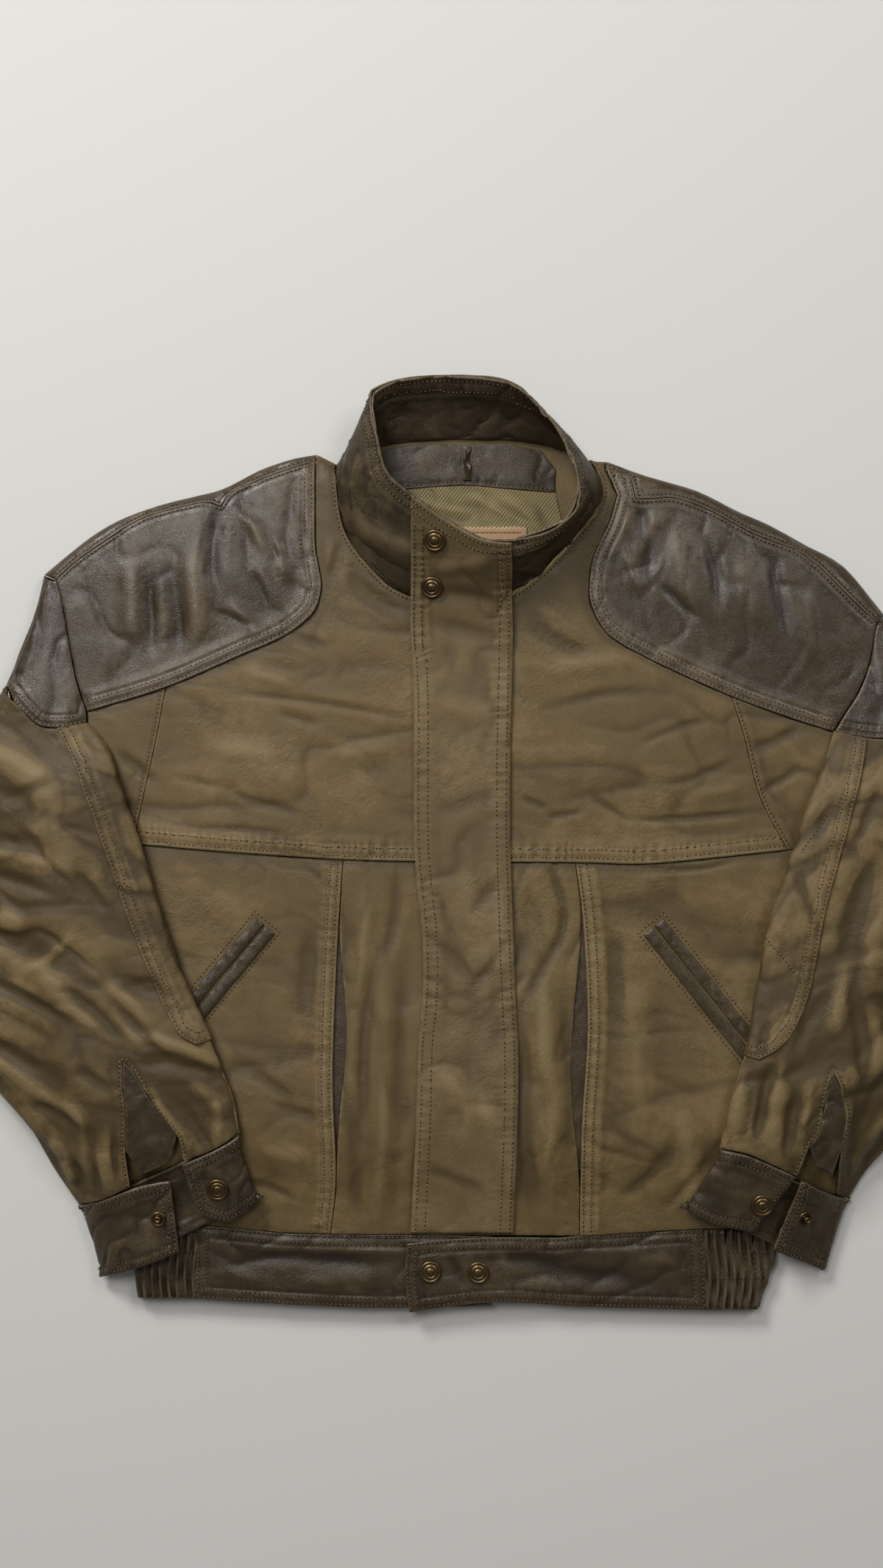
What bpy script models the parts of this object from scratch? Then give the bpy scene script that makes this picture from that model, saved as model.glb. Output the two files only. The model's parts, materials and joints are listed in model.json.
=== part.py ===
"""Worn leather blouson jacket, laid flat on its back.

Lengths are in millimetres in the plan of the jacket: +X is the wearer's left, +Y points to the
collar and +Z is up, with the back resting on Z = 0. Names end in _r on the wearer's right side
and in _l on the wearer's left. Objects are written in metres.
"""
import math

import bmesh
import bpy
import numpy as np
from mathutils import Vector
from mathutils.geometry import delaunay_2d_cdt

MM = 0.001

# Walls and gaps
LEATHER = 1.6
BAND = 2.2
COLLAR_LAYER = 1.2
LINING = 1.0
WELT = 1.0
SEAM_GAP = 0.3
LAID_GAP = 0.3
SLEEVE_CLEAR = 2.0
PLACKET_CLEAR = 1.3

# Heights of the body above the surface
SIDE_FOLD_HEIGHT = 7.0
BODY_FOLD_RADIUS = 16.0
BACK_FOLD_RADIUS = 8.0
WAIST_HEIGHT = 12.0
CHEST_CROWN = [(-330.0, WAIST_HEIGHT), (-255.0, 12.5), (-195.0, 21.0), (-60.0, 17.0),
               (150.0, 17.0), (290.0, 15.0)]

# Heights of a sleeve above what it lies on
SLEEVE_FOLD_HEIGHT = 9.0
SLEEVE_FOLD_RADIUS = 22.0
SLEEVE_LIFT = 24.0
SLEEVE_LIFT_ON_BODY = 15.0
CUFF_TOP = 11.0
CUFF_UNDER = 0.3
SLEEVE_AT_CUFF = 9.8
SLEEVE_DROP = 32.0
ARMHOLE_EASE = 42.0
ARMHOLE_STEP = 2.6

# Widths between mesh points
BODY_SPACING = 20.0
SLEEVE_SPACING = 16.5
HIDDEN_SPACING = 40.0
UNDER_SPACING = 24.0

# Snaps
SNAP_RADIUS = 7.5
STUD_RADIUS = 5.0
SNAP_STEPS = 12


def eased(low, high, value):
    """0 below low, 1 above high, and an S curve between."""
    share = np.clip((np.asarray(value, float) - low) / (high - low), 0.0, 1.0)
    return share * share * (3.0 - 2.0 * share)


def mix(first, second, share):
    """The value between two others."""
    return first + (second - first) * share


def ramp(value, knots):
    """A value that eases from knot to knot."""
    value = np.asarray(value, float)
    result = np.full(value.shape, float(knots[0][1]))
    for (low, first), (high, second) in zip(knots, knots[1:]):
        result = np.where(value > low, mix(first, second, eased(low, high, value)), result)
    return result


def round_edge(distance, radius):
    """The rise of a folded edge: 0 on the fold, 1 from one radius inwards."""
    share = np.clip(distance / radius, 0.0, 1.0)
    return np.sqrt(1.0 - (1.0 - share) ** 2)


def distance_to(x, y, line):
    """Distance in plan from each point to a polyline."""
    start = line[:-1]
    run = line[1:] - start
    length_squared = np.maximum((run ** 2).sum(axis=1), 1e-9)
    px = np.asarray(x, float)[..., None] - start[:, 0]
    py = np.asarray(y, float)[..., None] - start[:, 1]
    along = np.clip((px * run[:, 0] + py * run[:, 1]) / length_squared, 0.0, 1.0)
    return np.hypot(px - along * run[:, 0], py - along * run[:, 1]).min(axis=-1)


def within(x, y, ring):
    """True for the points inside a closed ring."""
    x = np.asarray(x, float)[..., None]
    y = np.asarray(y, float)[..., None]
    first = ring
    second = np.roll(ring, -1, axis=0)
    spans = (first[:, 1] > y) != (second[:, 1] > y)
    rise = np.where(second[:, 1] == first[:, 1], 1e-9, second[:, 1] - first[:, 1])
    crossing = first[:, 0] + (y - first[:, 1]) / rise * (second[:, 0] - first[:, 0])
    return (spans & (x < crossing)).sum(axis=-1) % 2 == 1


class Line:
    """A smooth seam or fold through a few plan points, sampled once for all its neighbours."""

    def __init__(self, points, step=15.0):
        knots = np.array(points, float)
        padded = np.vstack([2 * knots[0] - knots[1], knots, 2 * knots[-1] - knots[-2]])
        samples = [knots[0]]
        self.at = [0]
        for i in range(len(knots) - 1):
            before, first, second, after = padded[i:i + 4]
            count = max(1, round(float(np.hypot(*(second - first))) / step))
            for k in range(1, count + 1):
                t = k / count
                samples.append(0.5 * (2 * first + (second - before) * t
                                      + (2 * before - 5 * first + 4 * second - after) * t ** 2
                                      + (3 * first - before - 3 * second + after) * t ** 3))
            self.at.append(len(samples) - 1)
        self.points = np.array(samples)

    def cut(self, first, last):
        """The stretch from one of its own points to another, in that order."""
        low, high = sorted((self.at[first], self.at[last]))
        stretch = self.points[low:high + 1]
        return stretch if first <= last else stretch[::-1]


def ring_of(*stretches):
    """One anticlockwise ring from stretches that follow each other."""
    points = []
    for stretch in stretches:
        for point in np.atleast_2d(stretch):
            if not points or np.hypot(*(point - points[-1])) > 0.05:
                points.append(point)
    if np.hypot(*(points[0] - points[-1])) < 0.05:
        points.pop()
    ring = np.array(points, float)
    following = np.roll(ring, -1, axis=0)
    area = (ring[:, 0] * following[:, 1] - following[:, 0] * ring[:, 1]).sum()
    return ring if area > 0 else ring[::-1]


def outward(ring):
    """The outward plan normal at each ring point, lengthened at corners so that offsets stay even."""
    before = ring - np.roll(ring, 1, axis=0)
    after = np.roll(ring, -1, axis=0) - ring
    before /= np.hypot(before[:, 0], before[:, 1])[:, None]
    after /= np.hypot(after[:, 0], after[:, 1])[:, None]
    first = np.column_stack([before[:, 1], -before[:, 0]])
    second = np.column_stack([after[:, 1], -after[:, 0]])
    middle = first + second
    middle /= np.maximum(np.hypot(middle[:, 0], middle[:, 1]), 1e-6)[:, None]
    spread = np.maximum((middle * first).sum(axis=1), 0.5)
    return middle / spread[:, None]


# Folds and seams of the body, wearer's right
SHOULDER_FOLD_R = Line([(-84.5, 259), (-97.5, 265.5), (-112.5, 263), (-137.5, 254.5), (-162.5, 242),
                        (-197.5, 233), (-227.5, 223), (-252.5, 209), (-284.5, 183)])
SHOULDER_SEAM_R = Line([(-275, 179), (-262.5, 190.5), (-237.5, 208), (-212.5, 222.5),
                        (-172.5, 232), (-162.5, 229), (-157.5, 237), (-137.5, 247), (-98.5, 260.5)])
ARMHOLE_R = Line([(-284.5, 183), (-275, 179), (-267.5, 148), (-261, 113), (-253.5, 89),
                  (-253, 80.5), (-262, 53), (-290, 28)])
SIDE_FOLD_R = Line([(-290, 28), (-288, 2), (-282, -52), (-267, -127), (-247, -202), (-230, -247),
                    (-223, -261)])
YOKE_EDGE_R = Line([(-98.5, 260.5), (-98.5, 230), (-98, 200), (-94, 175), (-98.5, 158),
                    (-117.5, 141.5), (-147.5, 128), (-200, 105.5), (-253.5, 89)])
NECK_R = Line([(-84.5, 259), (-83, 233.5), (-78.5, 212.5), (-67.5, 194.5), (-48, 174.5),
               (-27.5, 165.5), (-12.5, 162)], step=10.0)
SIDE_PANEL_SEAM_R = Line([(-200, 105.5), (-206, 73), (-212.5, 43), (-222.5, -1)])
CHEST_SEAM_R = Line([(-288, 2), (-222.5, -1), (-162.5, -6), (-79.5, -11.5), (-12.5, -13)])
SLIT_R = Line([(-79.5, -11.5), (-83.5, -79), (-86, -159), (-84, -224), (-88, -267)], step=16.0)
WAIST_SEAM_R = Line([(-223, -261), (-180, -260.5), (-128, -265.5), (-88, -267), (-12.5, -267.5)])

# Folds and seams of the body, wearer's left
SHOULDER_FOLD_L = Line([(87, 262), (101.5, 260.5), (121.5, 253), (162.5, 240.5), (187.5, 228),
                        (212.5, 217), (237.5, 203), (262.5, 189), (291, 155)])
SHOULDER_SEAM_L = Line([(284, 149.5), (271, 161), (243, 189), (229, 199), (200.5, 210),
                        (168.5, 227), (143, 235), (119.5, 234), (116.5, 248), (99, 256.5)])
ARMHOLE_L = Line([(291, 155), (284, 149.5), (278, 121.5), (269.5, 100.5), (254, 75.5),
                  (259.5, 68), (270, 50), (295, 28)])
SIDE_FOLD_L = Line([(295, 28), (293.5, 1.5), (287.5, -52), (272.5, -127), (250, -202),
                    (227.5, -247), (217.5, -263)])
YOKE_EDGE_L = Line([(99, 256.5), (107, 236.5), (101, 217), (90, 192), (88.5, 164), (98.5, 144),
                    (123.5, 127.5), (184.5, 99.5), (236, 81), (254, 75.5)])
NECK_L = Line([(87, 262), (95, 250.5), (97.5, 239), (94, 226.5), (84, 214), (70, 197), (56, 183),
               (36, 169), (12.5, 164), (-12.5, 162)], step=10.0)
SIDE_PANEL_SEAM_L = Line([(184.5, 99.5), (193.5, 71.5), (202.5, 35.5), (213, 12.5), (223, -5)])
CHEST_SEAM_L = Line([(293.5, 1.5), (223, -5), (166.5, -11), (124, -14.5), (78.5, -13.5),
                     (-12.5, -13)])
SLIT_L = Line([(78.5, -13.5), (84, -59.5), (86.5, -124.5), (82.5, -193.5), (81.5, -268)], step=16.0)
WAIST_SEAM_L = Line([(217.5, -263), (198.5, -263.3), (166, -263.5), (129.5, -265.5), (81.5, -268),
                     (-12.5, -267.5)])

# Back and middle
NECK_BACK = Line([(-84.5, 259), (-72, 269), (-52, 274), (-24, 276.5), (8, 277), (37.5, 276.5),
                  (62, 273), (87, 262)])
CENTRE = Line([(-12.5, 162), (-12.5, -13), (-12.5, -267.5)], step=18.0)
BACK_YOKE_EDGE_R = Line([(-98.5, 215), (-104, 168), (-135, 138), (-200, 105.5), (-253.5, 89)])
BACK_YOKE_EDGE_L = Line([(101.5, 212), (106, 164), (136, 134), (200, 97), (254, 75.5)])
BACK_WAIST = Line([(-223, -261), (217.5, -263)], step=40.0)

# Sleeve folds and seams, wearer's right: the outer fold runs from shoulder to cuff
SLEEVE_OUTER_R = Line([(-284.5, 183), (-290, 158), (-300, 133), (-310, 108), (-327.5, 80.5),
                       (-343.5, 43), (-356.5, -7), (-358.5, -62), (-350, -112), (-332.5, -149.5),
                       (-296, -192), (-278, -223), (-260.5, -248.5)])
SLEEVE_INNER_R = Line([(-253, 80.5), (-244, 72), (-235.5, 58.5), (-223, 21), (-210.5, -18),
                       (-187.5, -87.5), (-168, -132.5), (-153, -170.5), (-148, -196)])
CAP_SEAM_R = Line([(-310, 108), (-302, 96), (-285.5, 80), (-273, 78), (-253, 80.5)])
CUFF_SEAM_R = Line([(-260.5, -248.5), (-241, -241.5), (-222.5, -232), (-186, -214.5),
                    (-171, -209), (-148, -196)], step=10.0)
VENT_R = Line([(-222.5, -232), (-225, -206.5), (-224.5, -181), (-226, -145.5), (-204, -178),
               (-190, -196), (-186, -214.5)])
GUSSET_HEM_R = Line([(-222.9, -227), (-200, -217), (-195, -211), (-187.6, -207.5)], step=9.0)
PATCH_EDGE_R = Line([(-273, 78), (-259, 51.5), (-242, 5), (-221.5, -54), (-202, -102),
                     (-187.5, -129), (-177, -135), (-168, -132.5)])
UNDERARM_R = Line([(-310, 108), (-300, 60), (-290, 28), (-262, 45), (-235.5, 58.5)], step=20.0)

# Sleeve folds and seams, wearer's left
SLEEVE_OUTER_L = Line([(291, 155), (300, 143), (318.5, 110.5), (332.5, 80.5), (346.5, 43),
                       (356.5, -7), (358.5, -62), (352.5, -112), (337.5, -149.5), (302.5, -195.5),
                       (278, -225.5), (266.5, -244.5)])
SLEEVE_INNER_L = Line([(254, 75.5), (248, 56), (236.5, 28.5), (224, -7.5), (209.5, -48.5),
                       (200.5, -91.5), (191, -143), (181.5, -174.5), (175, -206)])
CAP_SEAM_L = Line([(318.5, 110.5), (316, 92), (305, 77), (287.5, 71), (275.5, 71.5), (254, 75.5)])
CUFF_SEAM_L = Line([(266.5, -244.5), (258, -241.5), (245, -235.5), (227.5, -225.5),
                    (209.5, -216.5), (193, -209), (175, -206)], step=10.0)
VENT_L = Line([(258, -241.5), (256.5, -204), (259, -184.5), (250, -152.5), (241, -193.5),
               (235, -204), (227.5, -225.5)])
GUSSET_HEM_L = Line([(257.6, -233), (252, -226), (248, -221), (240, -217.5), (229, -221.5)],
                    step=9.0)
PATCH_EDGE_L = Line([(275.5, 71.5), (271, 51.5), (258, 1.5), (245, -46.5), (234.5, -100),
                     (220, -130.5), (200.5, -145), (191, -143)])
UNDERARM_L = Line([(318.5, 110.5), (306, 60), (295, 28), (270, 44), (248, 56)], step=20.0)

BODY_RING = ring_of(SHOULDER_FOLD_R.points[::-1], NECK_BACK.points, SHOULDER_FOLD_L.points,
                    ARMHOLE_L.points, SIDE_FOLD_L.points, [(205.5, -318.5), (-220, -311)],
                    SIDE_FOLD_R.points[::-1], ARMHOLE_R.points[::-1])
BODY_CLOSED = np.vstack([BODY_RING, BODY_RING[:1]])
BODY_FOLDS = [SHOULDER_FOLD_R, SHOULDER_FOLD_L, SIDE_FOLD_R, SIDE_FOLD_L, SLEEVE_OUTER_R,
              SLEEVE_OUTER_L]
SLEEVE_FOLDS = [SHOULDER_FOLD_R, SHOULDER_FOLD_L, SLEEVE_OUTER_R, SLEEVE_OUTER_L,
                SLEEVE_INNER_R, SLEEVE_INNER_L]

# Largest folds: start, end, half width and height of each soft ridge
PLEAT_FOLDS = [((-54, -60), (-60, -235), 9, 3.5), ((-30, -110), (-36, -240), 8, 2.0),
               ((56, -70), (62, -238), 9, 3.5), ((44, -150), (40, -240), 7, 2.0)]
BODY_RIDGES = [((-190, 60), (-90, 40), 9, 1.8), ((-170, 20), (-60, 26), 8, 1.5),
               ((60, 60), (170, 30), 9, 1.8), ((90, 95), (150, 60), 9, 1.6),
               ((-150, -150), (-110, -230), 12, 2.0), ((110, -160), (150, -235), 12, 2.0),
               ((-230, 190), (-160, 160), 12, 2.4), ((-190, 205), (-120, 175), 10, 2.0),
               ((130, 205), (190, 150), 12, 2.4), ((190, 190), (240, 130), 12, 2.2)]
SLEEVE_RIDGES = [((-340, 60), (-280, 30), 11, 3.5), ((-345, 5), (-270, 0), 11, 3.5),
                 ((-345, -60), (-260, -40), 12, 4.0), ((-335, -115), (-250, -90), 11, 3.5),
                 ((-300, -165), (-235, -125), 10, 3.0), ((-270, -205), (-240, -150), 8, 2.5),
                 ((-180, -170), (-195, -120), 8, 2.5), ((-300, 160), (-285, 100), 9, 2.0),
                 ((345, 60), (290, 25), 11, 3.5), ((345, 0), (275, 0), 11, 3.5),
                 ((345, -60), (265, -45), 12, 4.0), ((335, -115), (255, -95), 11, 3.5),
                 ((305, -170), (240, -125), 10, 3.0), ((285, -200), (270, -150), 8, 2.5),
                 ((200, -180), (215, -120), 8, 2.5), ((305, 130), (288, 95), 9, 2.0)]


def ridges(x, y, folds):
    """The sum of soft ridges, each a rounded bar that dies out at its ends."""
    total = np.zeros(np.shape(x))
    for (x0, y0), (x1, y1), width, height in folds:
        length = math.hypot(x1 - x0, y1 - y0)
        ux, uy = (x1 - x0) / length, (y1 - y0) / length
        along = (x - x0) * ux + (y - y0) * uy
        across = (y - y0) * ux - (x - x0) * uy
        ends = eased(-0.1, 0.3, along / length) * (1.0 - eased(0.7, 1.1, along / length))
        total = total + height * ends * np.exp(-(across / width) ** 2)
    return total


def nearest(x, y, lines):
    """Distance in plan to the nearest of some lines."""
    return np.min([distance_to(x, y, line.points) for line in lines], axis=0)


def front(x, y):
    """Height of the outer face of the body's front."""
    depth = np.maximum(nearest(x, y, BODY_FOLDS) - SEAM_GAP / 2, 0.0)
    rise = round_edge(depth, BODY_FOLD_RADIUS)
    crown = ramp(y, CHEST_CROWN) - SIDE_FOLD_HEIGHT
    beside_placket = eased(40.0, 48.0, np.abs(x - 2.0))
    folds = ridges(x, y, BODY_RIDGES) + ridges(x, y, PLEAT_FOLDS) * beside_placket
    calm = eased(2.0, 24.0, depth) * eased(-262.0, -230.0, y)
    return SIDE_FOLD_HEIGHT + SEAM_GAP / 2 + crown * rise + folds * calm


def back(x, y):
    """Height of the outer, lower face of the body's back and of a sleeve's shoulder."""
    depth = np.maximum(nearest(x, y, BODY_FOLDS) - SEAM_GAP / 2, 0.0)
    return (SIDE_FOLD_HEIGHT - SEAM_GAP / 2) * (1.0 - round_edge(depth, BACK_FOLD_RADIUS))


def ground(x, y):
    """Height of what a sleeve lies on: the body, or the surface beside it."""
    beyond = np.where(within(x, y, BODY_RING), 0.0, distance_to(x, y, BODY_CLOSED))
    on_body = ramp(y, CHEST_CROWN) + SLEEVE_CLEAR
    return on_body * (1.0 - eased(0.0, SLEEVE_DROP, beyond))


def sleeve_fields(x, y):
    """What a sleeve lies on, its fold height and its crown height, at each point."""
    base = ground(x, y)
    on_body = eased(0.0, 1.0, base / (WAIST_HEIGHT + SLEEVE_CLEAR))
    at_cuff = eased(0.0, 70.0, nearest(x, y, [CUFF_SEAM_R, CUFF_SEAM_L]))
    lift = mix(SLEEVE_AT_CUFF, mix(SLEEVE_LIFT, SLEEVE_LIFT_ON_BODY, on_body), at_cuff)
    fold = base + mix(CUFF_TOP / 2 - 1.0, SLEEVE_FOLD_HEIGHT, at_cuff)
    crown = base + lift
    armhole = np.minimum(distance_to(x, y, ARMHOLE_R.cut(0, 5)),
                         distance_to(x, y, ARMHOLE_L.cut(0, 4)))
    away = eased(0.0, ARMHOLE_EASE, armhole)
    low_end = 1.0 - eased(88.0, 150.0, y)
    body = ramp(y, CHEST_CROWN)
    fold_at_armhole = mix(SIDE_FOLD_HEIGHT, body + ARMHOLE_STEP, low_end)
    fold = mix(fold_at_armhole, fold, away)
    crown = mix(body + ARMHOLE_STEP * low_end, crown, away)
    return base, fold, crown, away, at_cuff


def sleeve_top(x, y):
    """Height of the outer face of a sleeve's upper sheet."""
    base, fold, crown, away, at_cuff = sleeve_fields(x, y)
    depth = np.maximum(nearest(x, y, SLEEVE_FOLDS) - SEAM_GAP / 2, 0.0)
    radius = mix(BODY_FOLD_RADIUS, SLEEVE_FOLD_RADIUS, away)
    calm = eased(2.0, 26.0, depth) * away * at_cuff
    rise = (crown - fold) * round_edge(depth, radius)
    return fold + SEAM_GAP / 2 + rise + ridges(x, y, SLEEVE_RIDGES) * calm


def cap_under(x, y):
    """Height of the outer, lower face of a sleeve cap's back, which lies on the surface."""
    fold = sleeve_fields(x, y)[1]
    depth = np.maximum(nearest(x, y, BODY_FOLDS) - SEAM_GAP / 2, 0.0)
    return (fold - SEAM_GAP / 2) * (1.0 - round_edge(depth, BACK_FOLD_RADIUS))


def sleeve_under(x, y):
    """Height of the outer, lower face of a sleeve's under sheet."""
    base, fold, crown, away, at_cuff = sleeve_fields(x, y)
    depth = np.maximum(nearest(x, y, SLEEVE_FOLDS) - SEAM_GAP / 2, 0.0)
    low = base + CUFF_UNDER * (1.0 - at_cuff) * eased(0.0, 6.0, base)
    return mix(fold - SEAM_GAP / 2, low, round_edge(depth, BACK_FOLD_RADIUS))


def facing_normals(height, x, y):
    """Unit normals of a height field, pointing up."""
    step = 0.4
    slope_x = (height(x + step, y) - height(x - step, y)) / (2 * step)
    slope_y = (height(x, y + step) - height(x, y - step)) / (2 * step)
    normal = np.column_stack([-slope_x, -slope_y, np.ones(len(x))])
    return normal / np.linalg.norm(normal, axis=1)[:, None]


class Cloth:
    """An open sheet: outer points, their outward normals, and triangles."""

    def __init__(self, points, normals, faces):
        self.points = points
        self.normals = normals
        self.faces = faces

    def part_within(self, ring):
        """The part of the sheet whose triangles have their middle inside a plan ring."""
        middles = self.points[np.array(self.faces)].mean(axis=1)
        chosen = within(middles[:, 0], middles[:, 1], ring)
        return Cloth(self.points, self.normals, [f for f, keep in zip(self.faces, chosen) if keep])


def plan_mesh(ring, spacing, folds=(), rows=(), marks=()):
    """Triangles inside a ring, with finer rows beside its folds and edges along its marks."""
    normals = outward(ring)
    ring = ring - normals * SEAM_GAP / 2
    closed = np.vstack([ring, ring[:1]])
    extra = np.empty((0, 2))
    on_fold = np.zeros(len(ring), bool)
    if folds:
        on_fold = nearest(ring[:, 0], ring[:, 1], folds) < SEAM_GAP
        for row in rows:
            shifted = (ring - normals * row)[on_fold]
            keep = within(shifted[:, 0], shifted[:, 1], ring)
            keep &= distance_to(shifted[:, 0], shifted[:, 1], closed) > 0.8 * row
            extra = np.vstack([extra, shifted[keep]])
    low, high = ring.min(axis=0), ring.max(axis=0)
    grid = []
    for j, y in enumerate(np.arange(low[1] + spacing / 2, high[1], spacing * 0.866)):
        for x in np.arange(low[0] + spacing * (0.25 if j % 2 else 0.75), high[0], spacing):
            grid.append((x, y))
    grid = np.array(grid).reshape(-1, 2)
    keep = within(grid[:, 0], grid[:, 1], ring)
    keep &= distance_to(grid[:, 0], grid[:, 1], closed) > 0.5 * spacing
    if folds and rows:
        keep &= nearest(grid[:, 0], grid[:, 1], folds) > rows[-1] + 0.4 * spacing
    points = list(map(tuple, ring))
    edges = [(i, (i + 1) % len(ring)) for i in range(len(ring))]
    for mark in marks:
        keep &= distance_to(grid[:, 0], grid[:, 1], mark) > 0.3 * spacing
        if len(extra):
            extra = extra[distance_to(extra[:, 0], extra[:, 1], mark) > 1.5]
        inner = mark[within(mark[:, 0], mark[:, 1], ring)
                     & (distance_to(mark[:, 0], mark[:, 1], closed) > 1.0)]
        start = len(points)
        points += list(map(tuple, inner))
        edges += [(start + i, start + i + 1) for i in range(len(inner) - 1)]
    points += list(map(tuple, extra)) + list(map(tuple, grid[keep]))
    flat = [Vector((float(x), float(y))) for x, y in points]
    vertices, _, faces, *_ = delaunay_2d_cdt(flat, edges, [], 1, 1e-4, False)
    plan = np.array([tuple(v) for v in vertices])
    middles = plan[np.array([tuple(face) for face in faces])].mean(axis=1)
    inside = within(middles[:, 0], middles[:, 1], ring)
    return plan, [tuple(face) for face, keep in zip(faces, inside) if keep], ring


def sheet(ring, height, spacing, folds=(), rows=(), marks=(), underside=False):
    """A cloth over a plan ring, at the height that a field gives."""
    plan, faces, border = plan_mesh(ring, spacing, folds, rows, marks)
    x, y = plan[:, 0], plan[:, 1]
    points = np.column_stack([x, y, height(x, y)])
    normals = facing_normals(height, x, y)
    if underside:
        normals = -normals
        faces = [face[::-1] for face in faces]
    if folds:
        side = outward(border)
        side /= np.linalg.norm(side, axis=1)[:, None]
        for i in range(len(border)):
            if nearest(border[i:i + 1, 0], border[i:i + 1, 1], folds)[0] < 1.5 * SEAM_GAP:
                match = int(np.hypot(x - border[i, 0], y - border[i, 1]).argmin())
                normals[match] = (side[i, 0], side[i, 1], 0.0)
    return Cloth(points, normals, faces)


def surface_grid(points, flip=False):
    """A cloth from a grid of points, as two triangles for each of its cells."""
    rows, columns = points.shape[:2]
    along = np.gradient(points, axis=0)
    across = np.gradient(points, axis=1)
    normals = np.cross(along, across)
    normals /= np.linalg.norm(normals, axis=2)[:, :, None]
    faces = []
    for i in range(rows - 1):
        for j in range(columns - 1):
            a, b = i * columns + j, (i + 1) * columns + j
            faces += [(a, b, b + 1), (a, b + 1, a + 1)]
    if flip:
        normals = -normals
        faces = [face[::-1] for face in faces]
    return Cloth(points.reshape(-1, 3), normals.reshape(-1, 3), faces)


def shell(name, cloth, wall, material, raised=0.0):
    """A closed wall of even thickness, whose outer face is the cloth moved out by raised."""
    used = sorted({i for face in cloth.faces for i in face})
    number = {old: new for new, old in enumerate(used)}
    outer = cloth.points[used] + cloth.normals[used] * raised
    inner = outer - cloth.normals[used] * wall
    mesh = bpy.data.meshes.new(name)
    mesh.from_pydata([tuple(p * MM) for p in outer], [],
                     [tuple(number[i] for i in face) for face in cloth.faces])
    bm = bmesh.new()
    bm.from_mesh(mesh)
    tag = bm.verts.layers.int.new("row")
    for vertex in bm.verts:
        vertex[tag] = vertex.index
    grown = bmesh.ops.extrude_face_region(bm, geom=bm.faces[:], use_keep_orig=True)
    for item in grown["geom"]:
        if isinstance(item, bmesh.types.BMVert):
            item.co = inner[item[tag]] * MM
    bmesh.ops.recalc_face_normals(bm, faces=bm.faces[:])
    bmesh.ops.triangulate(bm, faces=[f for f in bm.faces if len(f.verts) > 3])
    if bm.calc_volume(signed=True) < 0:
        bmesh.ops.reverse_faces(bm, faces=bm.faces[:])
    bm.to_mesh(mesh)
    bm.free()
    mesh.shade_smooth()
    mesh.set_sharp_from_angle(angle=math.radians(50))
    return add_object(name, mesh, material)


def add_object(name, mesh, material):
    """Put a mesh in the jacket's collection with its material."""
    item = bpy.data.objects.new(name, mesh)
    mesh.materials.append(material)
    bpy.data.collections["worn_leather_jacket"].objects.link(item)
    return item


# Fine rows of points beside the folds of the front, the back and the sleeves
FRONT_ROWS = (1.3, 5.0)
BACK_ROWS = (1.0, 3.5)


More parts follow.
